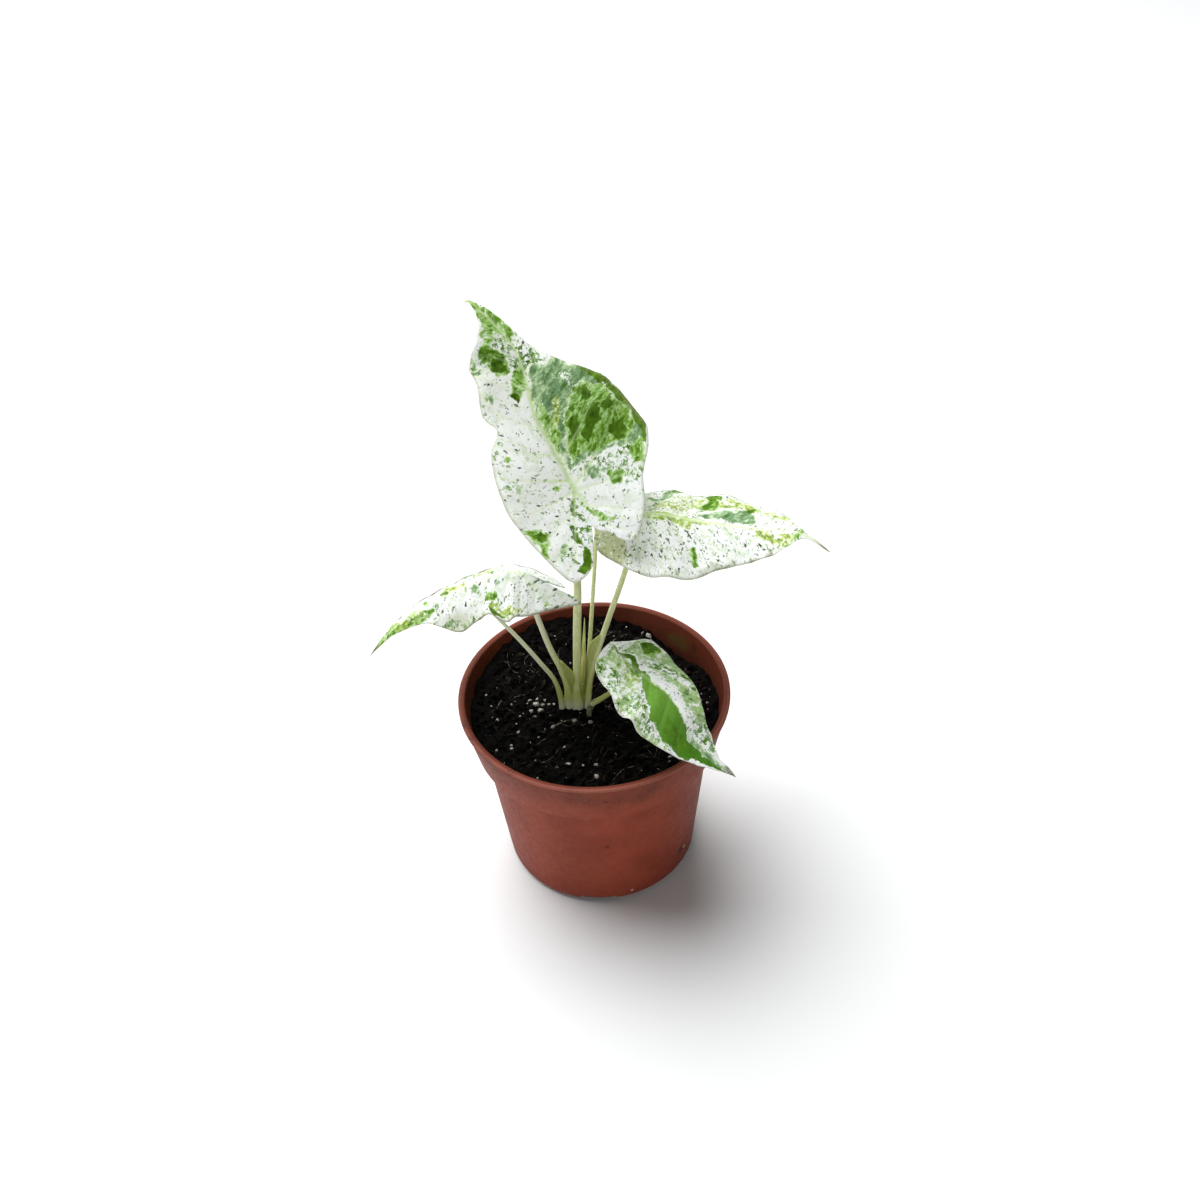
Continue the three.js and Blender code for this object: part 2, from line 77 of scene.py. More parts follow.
# Soil and what lies on it
SOIL_LEVEL = 83.5
SOIL_BACK_RISE = 6.5
SOIL_BACK_TURN = 115
SOIL_BACK_SPREAD = 45
SOIL_DIP = 7
SOIL_DIP_TURN = 42
SOIL_DIP_SPREAD = 17
SOIL_CLEARANCE = 0.3
SOIL_RINGS = 120
SOIL_SEGMENTS = 360
SOIL_LUMP = 0.7
SOIL_CRUMBLE = 1.1
SOIL_GRIT = 0.35
SOIL_HEAP = 0.4
SOIL_HEAP_REACH = 11
CRUMB_COUNT = 1500
BARK_COUNT = 330
PERLITE_COUNT = 190
FIBRE_COUNT = 90
CROWN = (-7, 0)
CROWN_RADIUS = 9.3
CROWN_TOP = 84.6
CROWN_BURIED = 2.4
CROWN_SHOULDER = 82.4
SCARS_ABOVE = 80

# Leaf blades, in the same form as the frame. The spine runs from behind the lobes through the petiole's
# joint, its second point, to the tip. The left and right outlines are (along, out) from that joint, and the
# sinus is the end of the cut between the lobes. Roll and fold are angles. A wave is its height, length and
# start. A dip, where one half hangs, is its middle, reach, two places across the blade and its depth. An
# edge is the strength of a darker margin and where it begins.
BLADE_THICKNESS = 0.5
MARGIN_THICKNESS = 0.22
STRAIGHT_RIB_SHARE = 0.58
ZONE_KINDS = ("dark", "bright", "sage", "lime", "white", "mottle", "fresh", "cream_and_shade", "margin_shade", "pale")
SEED_SPACING = 37.0
WAVE_LIMIT = 1.2
ZONE_SOFTNESS = 1.1
QUILT_HEIGHT = 0.5
GROOVE_DEPTH = 0.38
MIDRIB_DEPTH = 0.3
TAIL_LENGTH = 8
TURN_SMOOTHING = 8
FLOW_TURN = 52
FLOW_STRETCH = 0.55
STEPS_PER_SPAN = 60
STALK_STEPS_PER_SPAN = 30
MARGIN_SAMPLES = 3000
LOBE_WITH_VEINS = 5
LEAVES = [
    {
        "name": "leaf_1",
        "spine": [(6, -13, 176), (-3, 8, 195), (-11, 17, 210), (-17, 24, 221), (-20, 32, 234),
                  (-25, 38, 246), (-39, 44, 261), (-41.8, 44.9, 260.9)],
        "roll": [18, 18], "fold": 12, "curl": 0.1, "half_width": 32,
        "left": [(86.5, 0.7), (85, 1), (80, 3.8), (76, 9), (71, 19), (65, 23), (53, 20), (39, 20.5),
                 (33, 17), (26, 25), (10, 30), (-8, 26.5), (-21, 21.5), (-32, 16), (-35, 12), (-32, 5),
                 (-24, 1)],
        "right": [(86.5, 0.6), (85, 0.9), (77, 3.2), (60, 6), (51, 16), (45, 26.5), (38, 33), (13, 38.5),
                  (5, 36), (-4, 28.5), (-15.5, 24.5), (-25, 18.7), (-27.3, 14.5), (-25.4, 10.8),
                  (-20.8, 7.3), (-18.5, 3.5)],
        "sinus": (-15.5, -1.5), "fan_from": 0, "wave": (0.7, 28, 0), "ribs": 230, "columns": 46,
        "midrib": 0.95, "specks": 0.5, "edge": (0.6, 0.94), "tail": 0, "vein_tint": 0.85, "rib_tint": 0.85,
    },
    {
        "name": "leaf_2",
        "spine": [(-5, -8, 154), (-27, -4, 165), (-40, -6, 165), (-60, -11, 159), (-78, -17, 151),
                  (-90, -22, 140)],
        "roll": [1, 2, 6, 10], "fold": -27, "right_fold": -26, "curl": 0.05, "half_width": 20,
        "left": [(67, 0.8), (60, 2), (52, 4), (45, 6), (40, 10), (35, 13), (29, 14), (23, 15), (18, 15),
                 (13, 19), (8, 20.5), (0, 19), (-10, 15.5), (-18, 9.5), (-25, 4.5), (-28, 2.2), (-25, 0.8),
                 (-17, 0.4)],
        "right": [(66, 1.2), (54, 4.6), (41, 9.2), (27, 10.8), (13, 11.8), (0, 12), (-9, 12), (-16, 10),
                  (-20, 6), (-19, 3), (-15, 0.6)],
        "sinus": (-10, 0.4), "fan_from": 0, "wave": (0.5, 19, 60), "dip": (33, 7, 7, 13, 4), "ribs": 180,
        "columns": 34, "midrib": 0.75, "specks": 0.62, "edge": (0.9, 0.92), "tail": 0.9, "vein_tint": 0.35,
        "rib_tint": 0.6,
    },
    {
        "name": "leaf_3",
        "spine": [(2, 12, 172), (23, 10, 181), (47, 8, 177), (68, 5, 174), (86, 1, 174), (99, -4, 167)],
        "roll": [-10, -10], "fold": -13, "curl": 0.06, "half_width": 25,
        "left": [(74, 0.8), (68, 1.6), (63, 5), (56, 13), (48, 18), (36, 23), (29, 22.5), (21, 18.8),
                 (14, 20.5), (3, 16), (-6, 14), (-15, 11.5), (-21, 7), (-19, 2)],
        "right": [(74, 0.6), (68, 1.4), (63, 6), (56, 11.5), (48, 14.5), (34, 21), (23, 26), (14, 27.5),
                  (4, 27.5), (-6, 25.5), (-14, 18.5), (-20, 12), (-21.5, 7), (-21, 3), (-17, 0.8)],
        "sinus": (-11, 0), "fan_from": 0, "wave": (0.8, 21, 200), "ribs": 190, "columns": 38, "midrib": 0.8,
        "specks": 0.85, "edge": (0.65, 0.93), "tail": 0.8, "vein_tint": 0.5, "rib_tint": 0.9,
    },
    {
        "name": "leaf_4",
        "spine": [(7, -10, 134), (9, -14, 132), (19, -24, 125), (30, -33, 121), (36, -42, 116),
                  (41, -49, 108), (56, -60, 98)],
        "roll": [5, 5], "fold": 6, "curl": 0.08, "half_width": 19,
        "left": [(71, 1), (65, 2), (56, 7.5), (47, 9), (34, 12.5), (28, 13.8), (20, 16.7), (10, 17.3),
                 (5, 14), (2, 7)],
        "right": [(71, 2.8), (65, 6.5), (56, 12), (48, 17.3), (41, 21.5), (32, 23), (22, 23.5), (15, 19),
                  (6, 15.3), (1.5, 8)],
        "sinus": (-1.5, 0), "fan_from": 9, "wave": (0.7, 17, 90), "ribs": 180, "columns": 36, "midrib": 0.8,
        "specks": 0.7, "edge": (0.4, 0.94), "tail": 0.7, "vein_tint": 0.12, "rib_tint": 0.3,
    },
    {
        "name": "leaf_5",
        "spine": [(-38, 6, 140), (-46, 7, 143.5), (-55, 8, 143), (-63, 8, 139), (-69, 8, 134)],
        "roll": [0, 0], "fold": 8, "curl": 0.1, "half_width": 8,
        "left": [(20, 2), (13, 6), (6, 7), (-2, 5.5), (-6, 3)],
        "right": [(20, 2), (13, 6), (6, 7), (-2, 5.5), (-6, 3)],
        "sinus": (-3, 0), "fan_from": 0, "wave": (0.3, 12, 0), "ribs": 90, "columns": 20, "midrib": 0.5,
        "specks": 0.8, "edge": (0.6, 0.9), "tail": 0.4, "vein_tint": 0.4, "rib_tint": 0.7,
    },
    {
        "name": "leaf_6",
        "spine": [(8, 8, 190), (8.5, 20, 193), (11, 34, 191), (14, 48, 184), (17, 60, 173)],
        "roll": [0, 0], "fold": 8, "curl": 0.12, "half_width": 15,
        "left": [(40, 2), (30, 8), (18, 13.5), (6, 15), (-4, 12.5), (-12, 8), (-11, 4)],
        "right": [(40, 2), (30, 8), (18, 13.5), (6, 15), (-4, 12.5), (-12, 8), (-11, 4)],
        "sinus": (-5, 0), "fan_from": 0, "wave": (0.6, 16, 40), "ribs": 120, "columns": 26, "midrib": 0.6,
        "specks": 0.75, "edge": (0.6, 0.94), "tail": 0.4, "vein_tint": 0.5, "rib_tint": 0.8,
    },
]

# Patches of colour by leaf and kind, some of them painted shade: each a strength and an outline on the flat
# blade, in (along, out) from the petiole's joint, where out is negative to the right
ZONES = {
    ("leaf_1", "dark"): [
        (1, [(56, 6), (54, 8), (55, 12), (61, 13), (63, 11), (60, 7)]),
        (1, [(42, 3), (41, 4), (42, 7), (44, 8), (45, 7), (44, 4)]),
        (0.85, [(47, -21), (44, -30), (28, -37), (20, -40), (10, -39), (4, -35), (5, -34), (10, -36),
            (19, -36), (25, -34), (42, -27), (45, -22)]),
        (1, [(25, -31), (23, -29), (24, -26), (26, -25), (28, -26), (28, -30)]),
        (0.9, [(35, -24), (32, -22), (34, -20), (37, -20), (39, -21), (38, -23)]),
        (1, [(24, -18), (26, -23), (24, -25), (20, -23), (18, -18), (15, -14), (19, -13), (22, -16)]),
        (0.8, [(28, -13), (27, -16), (22, -14), (17, -10), (19, -8), (24, -10)]),
        (0.95, [(17, -25), (16, -31), (11, -30), (10, -25), (14, -22)]),
        (0.8, [(-13, 7), (-15, 5), (-20, 4), (-23, 5), (-20, 7)]),
        (1, [(-22, 6), (-24, 3), (-29, 3), (-33, 5), (-34, 9), (-31, 11), (-27, 7)]),
        (0.85, [(-11, 22), (-11, 17), (-15, 17), (-16, 21)]),
    ],
    ("leaf_1", "bright"): [
        (0.8, [(90, 0), (77, -4), (70, -5), (65, -3), (65, 2), (69, 3), (67, 10), (70, 13), (75, 9),
            (80, 4)]),
        (1, [(72, 14), (68, 9), (61, 6), (56, 5), (53, 6), (53, 11), (59, 14), (68, 17)]),
        (0.8, [(53, 5), (55, 0), (51, -1), (44, 1), (41, 4), (43, 8), (48, 6)]),
        (0.92, [(41, -17), (40, -29), (23, -35), (12, -36), (9, -28), (12, -11), (11, -3), (20, -6)]),
        (1.02, [(19, -26), (19, -32), (13, -36), (10, -32), (9, -26), (10, -20), (11, -14), (12, -10),
            (14, -16), (14, -22)]),
        (0.92, [(40, -2), (29, -6), (23, -5), (15, -3), (15, -1), (24, 0)]),
        (1, [(7, -30), (6, -35), (1, -33), (-2, -30), (1, -27), (5, -27)]),
        (0.9, [(-3, -21), (-5, -18), (-3, -15), (0, -15), (2, -17), (0, -21)]),
        (0.9, [(-4, 0), (-8, -3), (-14, -10), (-17, -14), (-17, -9), (-11, -3), (-6, 1)]),
        (1, [(-7, 26), (-8, 21), (-10, 17), (-14, 16), (-18, 18), (-24, 18), (-21, 21), (-14, 23),
            (-10, 25)]),
        (0.85, [(23, 17), (22, 18), (23, 20), (25, 20), (25, 18), (24, 17)]),
        (0.8, [(2, 5), (2, 6), (3, 8), (4, 9), (5, 7), (4, 5)]),
    ],
    ("leaf_1", "sage"): [
        (1, [(71, 20), (68, 19), (60, 18), (57, 20), (67, 23)]),
        (0.9, [(50, 18), (46, 14), (43, 15), (44, 18)]),
        (0.96, [(53, -3), (53, -14), (49, -20), (43, -30), (27, -38), (10, -38), (5, -35), (9, -20),
            (9, -2), (30, 0)]),
        (1, [(53, -3), (51, -8), (52, -15), (49, -18), (45, -15), (39, -12), (32, -12), (26, -7), (20, -5),
            (11, -2), (24, 0), (36, -1), (44, 0)]),
        (1.06, [(47, -18), (47, -22), (43, -29), (27, -37), (20, -39), (9, -38), (5, -35), (10, -26),
            (9, -20), (11, -10), (9, -2), (20, -5), (32, -12)]),
        (0.85, [(3, -14), (1, -11), (3, -8), (6, -7), (7, -10), (6, -13)]),
        (0.8, [(-22, 10), (-24, 12), (-23, 15), (-20, 16), (-18, 13), (-19, 11)]),
        (0.5, [(18, 25), (14, 18), (5, 21), (12, 27)]),
        (0.75, [(36, 7), (33, 4), (32, 6), (34, 8)]),
    ],
    ("leaf_1", "lime"): [
        (0.75, [(39, -10), (36, -12), (27, -8), (25, -5), (28, -4), (35, -8)]),
    ],
    ("leaf_1", "white"): [
        (0.5, [(49, -14), (47, -18), (43, -19), (42, -16), (46, -14)]),
        (0.5, [(41, -29), (31, -32), (23, -35), (25, -32), (37, -28)]),
    ],
    ("leaf_1", "mottle"): [
        (0.56, [(76, 4), (70, 12), (63, 18), (58, 8), (66, 2)]),
        (0.66, [(69, 3), (64, -3), (57, -7), (49, -18), (47, -18), (48, -9), (53, -4), (46, 1), (51, 5),
            (57, 5)]),
        (0.62, [(10, -23), (9, -32), (5, -35), (2, -31), (2, -26), (6, -21)]),
        (0.52, [(12, -8), (7, -20), (3, -28), (-3, -29), (-7, -23), (0, -11), (6, -4)]),
        (0.66, [(-2, 3), (-4, 1), (-8, 1), (-16, -2), (-26, 2), (-22, 4), (-19, 6), (-17, 8), (-8, 5)]),
        (0.5, [(-22, 16), (-23, 8), (-31, 11), (-28, 15)]),
        (0.55, [(32, 18), (30, 16), (27, 20), (24, 25), (29, 23)]),
    ],
    ("leaf_2", "dark"): [
        (0.85, [(35, -5), (30, -4), (31, 0), (34, -1)]),
        (0.9, [(18, 11), (16, 13), (14, 16), (11, 18), (-4, 18), (12, 19), (16, 17), (18, 14)]),
        (0.8, [(37, 5), (38, 6), (39, 5), (40, 4), (39, 4), (38, 5)]),
    ],
    ("leaf_2", "bright"): [
        (0.95, [(78, 0), (67, -5), (60, -3), (54, -2), (46, 0), (40, 1), (39, 3), (44, 5), (51, 5), (57, 4),
            (63, 2)]),
        (0.8, [(44, -3), (42, -6), (39, -4), (40, 0)]),
        (1.1, [(18, 6), (15, 5), (12, 6), (11, 9), (13, 10), (15, 9), (18, 8)]),
        (0.95, [(-18, 8), (-17, 9), (-16, 10), (-15, 9), (-15, 8), (-16, 7)]),
        (0.7, [(32, 11), (28, 11), (26, 14), (30, 13), (33, 12)]),
    ],
    ("leaf_2", "sage"): [
        (1, [(23, 2), (19, 1), (18, 3), (19, 6), (22, 5)]),
        (0.8, [(9, 4), (10, 4), (11, 4), (11, 3), (10, 3), (9, 3)]),
        (1, [(-19, -7), (-26, -18), (-26, 1), (-23, 1), (-20, 0)]),
        (0.8, [(-13, 5), (-13, 6), (-11, 7), (-10, 7), (-11, 6), (-12, 5)]),
    ],
    ("leaf_2", "lime"): [
        (0.5, [(66, -3), (56, -2), (42, 1), (42, 4), (50, 4), (60, 2)]),
        (0.78, [(36, -3), (32, -8), (28, -7), (24, -4), (24, 0), (29, 0), (34, 0)]),
        (0.7, [(20, -6), (14, -11), (8, -10), (8, -5), (13, -4)]),
        (0.85, [(18, 10), (14, 9), (11, 11), (12, 14), (11, 15), (-1, 15), (-6, 16), (9, 20), (13, 18),
            (16, 16), (18, 13)]),
    ],
    ("leaf_2", "mottle"): [
        (0.56, [(43, 1), (39, 0), (35, 3), (42, 6), (44, 6)]),
        (0.66, [(28, -11), (22, -14), (16, -15), (9, -10), (8, -3), (11, 0), (17, -5), (22, -7)]),
        (0.56, [(41, 7), (34, 10), (23, 12), (19, 14), (21, 16), (30, 13), (36, 13), (39, 11)]),
    ],
    ("leaf_2", "cream_and_shade"): [
        (0.45, [(42, 8), (39, 13), (35, 15), (29, 17), (24, 17), (20, 15), (23, 12), (31, 9)]),
    ],
    ("leaf_2", "margin_shade"): [
        # Painted shade along the far margin where it curls away.
        (1, [(62, -2.6), (54, -3.6), (41, -7.9), (27, -9.4), (13, -10.4), (0, -10.6), (-12, -10.2),
            (-12, -16), (27, -15), (52, -9)]),
    ],
    ("leaf_3", "dark"): [
        (0.62, [(2, 11), (7, 12), (11, 18), (17, 21), (16, 18), (9, 14), (4, 9)]),
        (0.85, [(27, 20), (31, 22), (31, 17), (29, 15), (28, 10), (25, 9), (27, 15)]),
        (0.8, [(47, 13), (46, 12), (44, 11), (43, 12), (44, 14), (46, 15)]),
    ],
    ("leaf_3", "bright"): [
        (1, [(27, 20), (32, 22), (34, 20), (33, 15), (30, 9), (24, 8), (26, 15)]),
        (0.95, [(60, 9), (59, 8), (57, 7), (56, 9), (57, 10), (59, 11)]),
        (0.75, [(64, 2), (67, 3), (67, -2), (63, -8), (59, -9), (57, -6), (62, -3)]),
        (0.8, [(32, -4), (31, -5), (30, -6), (29, -5), (30, -4), (31, -3)]),
        (1.05, [(21, -14), (24, -12), (25, -16), (27, -19), (25, -20), (23, -18), (22, -16)]),
    ],
    ("leaf_3", "sage"): [
        (0.9, [(2, 11), (7, 12), (11, 18), (17, 21), (18, 20), (14, 14), (8, 10), (3, 7)]),
        (1.1, [(23, 3), (30, 9), (39, 12), (44, 13), (47, 10), (47, 2), (43, 2), (37, 2), (31, 2),
            (27, 2)]),
    ],
    ("leaf_3", "lime"): [
        (0.9, [(32, 19), (39, 20), (44, 17), (52, 12), (60, 8), (62, 4), (55, 8), (47, 12), (39, 13),
            (33, 12), (31, 14)]),
        (0.55, [(4, 4), (14, 16), (27, 19), (27, 9), (16, 4)]),
        (0.8, [(47, -1), (53, -1), (59, -2), (63, -3), (62, -7), (57, -8), (54, -7), (50, -4)]),
        (1, [(2, -1), (6, 1), (10, 1), (15, 1), (27, 0), (27, -2), (20, -2), (13, -2), (8, -3), (3, -3)]),
        (1, [(13, -1), (20, -1), (22, -3), (20, -6), (17, -4), (15, -3)]),
    ],
    ("leaf_3", "mottle"): [
        (0.44, [(3, 7), (12, 14), (21, 18), (27, 21), (26, 6), (18, 3), (7, 1), (2, 1)]),
        (0.62, [(53, 12), (59, 12), (63, 7), (59, 5), (56, 8)]),
        (0.5, [(29, -19), (35, -18), (41, -16), (39, -19), (34, -21), (29, -23)]),
        # This zone, on the lobe behind leaf 1, darkens it as painted shadow of leaf 1.
        (0.42, [(-23, 12), (-8, 8), (-14, -6), (-6, -14), (-3, -26), (-15, -18), (-22, -11)]),
    ],
    ("leaf_3", "cream_and_shade"): [
        # This zone, on the lobe behind leaf 1, is painted shadow of leaf 1.
        (1, [(-24, 14), (-6, 14), (-5, 2), (-9, -6), (-7, -13), (-7, -17), (-12, -22), (-24, -12)]),
        (0.26, [(2, 1), (2, 12), (30, 21), (58, 12), (66, 1), (30, 2)]),
    ],
    ("leaf_3", "margin_shade"): [
        # Painted shade along the lower margin where it curls under.
        (1, [(46, -17), (46, -14.8), (50, -12.5), (56, -10.8), (56, -14)]),
        (0.45, [(24, -30), (27, -21), (31, -18.5), (40, -16), (42, -17), (39, -24)]),
    ],
    ("leaf_4", "dark"): [
        (0.95, [(0, 0), (3, 1), (7, 2.6), (12, 2.6), (18, 1), (18, 0), (12, 0), (7, 0), (3, -1)]),
        (0.68, [(5, 11), (8, 16), (13, 16), (15, 11), (11, 9)]),
        (0.5, [(38, -6), (43, -13), (50, -13), (58, -8), (54, -5), (46, -4)]),
    ],
    ("leaf_4", "bright"): [
        (0.95, [(9, -2), (12, 1), (17, 0), (16, -3), (12, -5)]),
        (1, [(5, 11), (8, 16), (13, 16), (16, 16), (17, 12), (13, 8), (8, 9)]),
    ],
    ("leaf_4", "sage"): [
        (0.9, [(46, 0), (54, 0), (66, -1), (72, 0), (66, -4), (60, -4), (52, -3)]),
    ],
    ("leaf_4", "lime"): [
        (0.6, [(8, -1), (14, -1), (19, -5), (16, -8), (9, -6)]),
    ],
    ("leaf_4", "white"): [
        (0.66, [(14, 2), (23, 3), (31, 2), (40, 2), (46, 2), (49, 1), (43, 0), (34, -1), (27, 0), (19, 1)]),
    ],
    ("leaf_4", "mottle"): [
        (0.58, [(11, 7), (19, 12), (27, 12), (31, 14), (35, 12), (35, 9), (27, 7), (20, 6), (13, 4)]),
        (0.72, [(46, 1), (51, 9), (60, 6), (65, 1), (60, 0), (54, 1)]),
        (0.56, [(4, -13), (8, -9), (13, -8), (15, -12), (18, -14), (18, -19), (13, -18), (8, -17)]),
        (0.54, [(20, -12), (26, -8), (31, -11), (35, -16), (41, -13), (44, -14), (49, -14), (47, -17),
            (40, -20), (25, -20)]),
    ],
    ("leaf_4", "fresh"): [
        (1.2, [(17, 0), (21, 2), (28, 1), (35, 0), (41, 0), (46, -1), (52, -3), (60, -4), (70, -2), (76, 0),
            (67, -4), (63, -6), (58, -8), (57, -11), (54, -12), (50, -13), (48, -14), (44, -14), (41, -13),
            (36, -16), (31, -12), (28, -9), (23, -6), (19, -4)]),
    ],
    ("leaf_4", "pale"): [
        (1, [(3, -11), (1, -1), (7, -1), (10, -1), (10, -9), (4, -13)]),
        (1, [(14, -9), (15, -4), (18, -2), (20, -6), (20, -11), (18, -14), (15, -12)]),
        (1, [(18, -20), (19, -16), (22, -15), (24, -17), (24, -22), (21, -24)]),
        (1, [(14, 14), (21, 17), (27, 16), (28, 12), (23, 11), (18, 11)]),
        (1, [(31, 7), (33, 14), (38, 11), (44, 11), (50, 8), (47, 5), (40, 4), (32, 5)]),
        (0.72, [(4, 2), (12, 4), (30, 5), (46, 3), (58, 2), (58, 7), (46, 12), (30, 15), (16, 18),
            (4, 12)]),
        (0.6, [(2, -3), (16, -4), (24, -8), (36, -16), (50, -13), (47, -20), (28, -24), (6, -17)]),
    ],
    ("leaf_5", "bright"): [
        (0.8, [(6, -1), (2, -5), (-1, -5), (1, -1)]),
    ],
    ("leaf_5", "sage"): [
        (0.9, [(19, 1), (14, 5), (7, 5), (6, 1), (12, 0)]),
    ],
    ("leaf_5", "lime"): [
        (0.7, [(20, 0), (15, 1), (15, -2)]),
    ],
    ("leaf_5", "mottle"): [
        (0.5, [(12, 0), (6, 4), (-4, 3), (-4, -3), (6, -5)]),
    ],
    ("leaf_6", "dark"): [
        (0.9, [(25, 3), (21, 7), (17, 7), (19, 4)]),
    ],
    ("leaf_6", "bright"): [
        (0.9, [(30, 2), (24, 7), (16, 9), (18, 4)]),
        (0.8, [(40, 0), (33, 2), (33, -3)]),
    ],
    ("leaf_6", "sage"): [
        (0.9, [(34, 1), (30, 6), (18, 12), (10, 11), (14, 3), (24, 0)]),
    ],
    ("leaf_6", "mottle"): [
        (0.55, [(20, -1), (14, -10), (4, -12), (0, -6), (8, -1)]),
    ],
}

# Petioles: base radius, top radius, swell of the foot and the route of the centre line
PETIOLES = [
    ("leaf_1", 2, 1.6, 0.55, [(-7.4, 0, 84.9), (-7.2, 0.3, 92), (-5.9, 2, 121), (-4.2, 4, 151)]),
    ("leaf_2", 1.45, 1.1, 0.5, [(-11.5, 0.4, 84.9), (-11.3, 0.3, 94), (-13.6, 0, 106), (-17.8, -1.3, 121),
                                (-22.5, -3, 143)]),
    ("leaf_3", 1.5, 1.1, 0.45, [(-3.4, 0, 84.9), (-2.6, 0.2, 92), (0.5, 1.5, 107), (8.4, 4, 132),
                                (16.2, 7, 155)]),
    ("leaf_4", 1.1, 0.9, 0.3, [(-1.9, -2.7, 84.9), (-0.9, -3, 87.8), (2.6, -3.6, 90.8), (7, -4.6, 95.3),
                               (11.2, -7, 103), (12.6, -9.5, 114), (10.8, -12, 124)]),
    ("leaf_5", 1.1, 0.8, 0.3, [(-14.4, -0.8, 84.9), (-14.9, -0.5, 91), (-17, 0, 100.5), (-22.2, 1, 109.5),
                               (-30.4, 3, 122), (-38.2, 5, 132.3)]),
    ("leaf_6", 1, 0.8, 0.2, [(-5.6, 3.2, 84.9), (-4.6, 3.4, 90.5), (-2, 5, 104), (1.6, 11, 136),
                             (4.2, 21, 157), (5.6, 27.5, 173)]),
]
PETIOLE_SIDES = 28
PETIOLE_STEPS = 130
PETIOLE_SUNK = 4
FOOT_HEIGHT = 17

# Sheaths: the wing of a petiole's foot that clasps the younger stalks. Its reach from the petiole's middle
# is given at heights above the soil. It leans to the right (1) or the left (-1) and bows forward.
SHEATHS = {
    "leaf_2": {"side": 1, "bow": 0.9, "horn": 0.8,
               "reach": [(-3, 4), (10, 4), (16, 4.3), (20.5, 4.9), (22.5, 4.4), (26.6, 2.7), (27.6, 1.2)]},
    "leaf_3": {"side": -1, "bow": 0.7, "horn": 1.1,
               "reach": [(-3, 2.8), (9, 2.6), (17.5, 3.2), (26, 3.9), (34, 4.6), (35.6, 4.5), (37.4, 2.9),
                         (38.4, 1.2)]},
}
SHEATH_EDGE = 0.22
SHEATH_STEPS = 110
SHEATH_COLUMNS = 22
SPIKE_ROUTE = [(-5.3, -0.4, 82), (-4.9, -1, 96), (-4.1, -1.9, 108), (-3.3, -2.4, 119), (-2.1, -1.8, 137)]
SPIKE_RADIUS = 1.35
SPIKE_TIP_RADIUS = 0.12
STUB = (-2.6, -6)
STUB_RADIUS = 1.3
STUB_TOP = 88

# Camera: its place and its right and up directions
CAMERA_EYE = (4.76, -434.36, 509.18)
CAMERA_RIGHT = (0.99863, -0.033641, -0.040092)
CAMERA_UP = (0.052336, 0.641907, 0.764995)
CAMERA_LENS = 40.806
CAMERA_SENSOR = 36


# Geometry helpers

def unit(vectors):
    """Vectors scaled to length 1."""
    return vectors / np.linalg.norm(vectors, axis=-1, keepdims=True)


def smooth_curve(points, per_span=STEPS_PER_SPAN, centripetal=False):
    """Points along a Catmull-Rom curve through the given points."""
    points = np.array(points, float)
    ends = [2 * points[0] - points[1], 2 * points[-1] - points[-2]]
    row = np.vstack([ends[:1], points, ends[1:]])
    share = np.arange(per_span)[:, None] / per_span
    spans = []
    for i in range(len(points) - 1):
        before, start, end, after = row[i:i + 4]
        steps = np.maximum(np.linalg.norm(np.diff(row[i:i + 4], axis=0), axis=1), 1e-9)
        lead, gap, trail = steps ** 0.5 if centripetal else np.ones(3)
        first = gap * ((start - before) / lead - (end - before) / (lead + gap) + (end - start) / gap)
        last = gap * ((end - start) / gap - (after - start) / (gap + trail) + (after - end) / trail)
        square = -3 * start + 3 * end - 2 * first - last
        cube = 2 * start - 2 * end + first + last
        spans.append(start + first * share + square * share ** 2 + cube * share ** 3)
    return np.vstack(spans + [points[-1:]])


def path_lengths(points):
    """Distance travelled at each point of a path."""
    steps = np.linalg.norm(np.diff(points, axis=0), axis=1)
    return np.concatenate([[0], np.cumsum(steps)])


def along_path(points, lengths, where):
    """Points at given distances along a path."""
    return np.stack([np.interp(where, lengths, points[:, axis]) for axis in range(points.shape[1])], axis=-1)


def smoothstep(value, low, high):
    """0 below low, 1 above high and a smooth rise between."""
    share = np.clip((value - low) / (high - low), 0, 1)
    return share * share * (3 - 2 * share)


def grid_faces(rows, width, start=0, closed=False):
    """Faces between rows of corners, counted from start. Closed rows go round."""
    faces = []
    for row in range(rows - 1):
        for k in range(width if closed else width - 1):
            a = start + row * width + k
            b = start + row * width + (k + 1) % width
            faces.append([a, b, b + width, a + width])
    return faces


def both_sides(faces, count):
    """The faces, and the same faces turned over on the corners that come count later."""
    return faces + [[corner + count for corner in reversed(face)] for face in faces]


def join(bodies):
    """The corners and faces of several bodies as one body."""
    joined = []
    start = 0
    for vertices, faces in bodies:
        joined.extend([[corner + start for corner in face] for face in faces])
        start += len(vertices)
    return np.vstack([vertices for vertices, _ in bodies]), joined


def weld(vertices, faces, attributes):
    """Joins vertices at the same place, drops repeated corners and empty faces."""
    _, first, where = np.unique(np.round(vertices, 5), axis=0, return_index=True, return_inverse=True)
    where = where.reshape(-1)
    kept = []
    for face in faces:
        corners = []
        for corner in where[list(face)]:
            if not corners or corner != corners[-1]:
                corners.append(int(corner))
        if corners[0] == corners[-1]:
            corners.pop()
        if len(set(corners)) > 2:
            kept.append(corners)
    return (vertices[first], kept), {name: values[first] for name, values in attributes.items()}


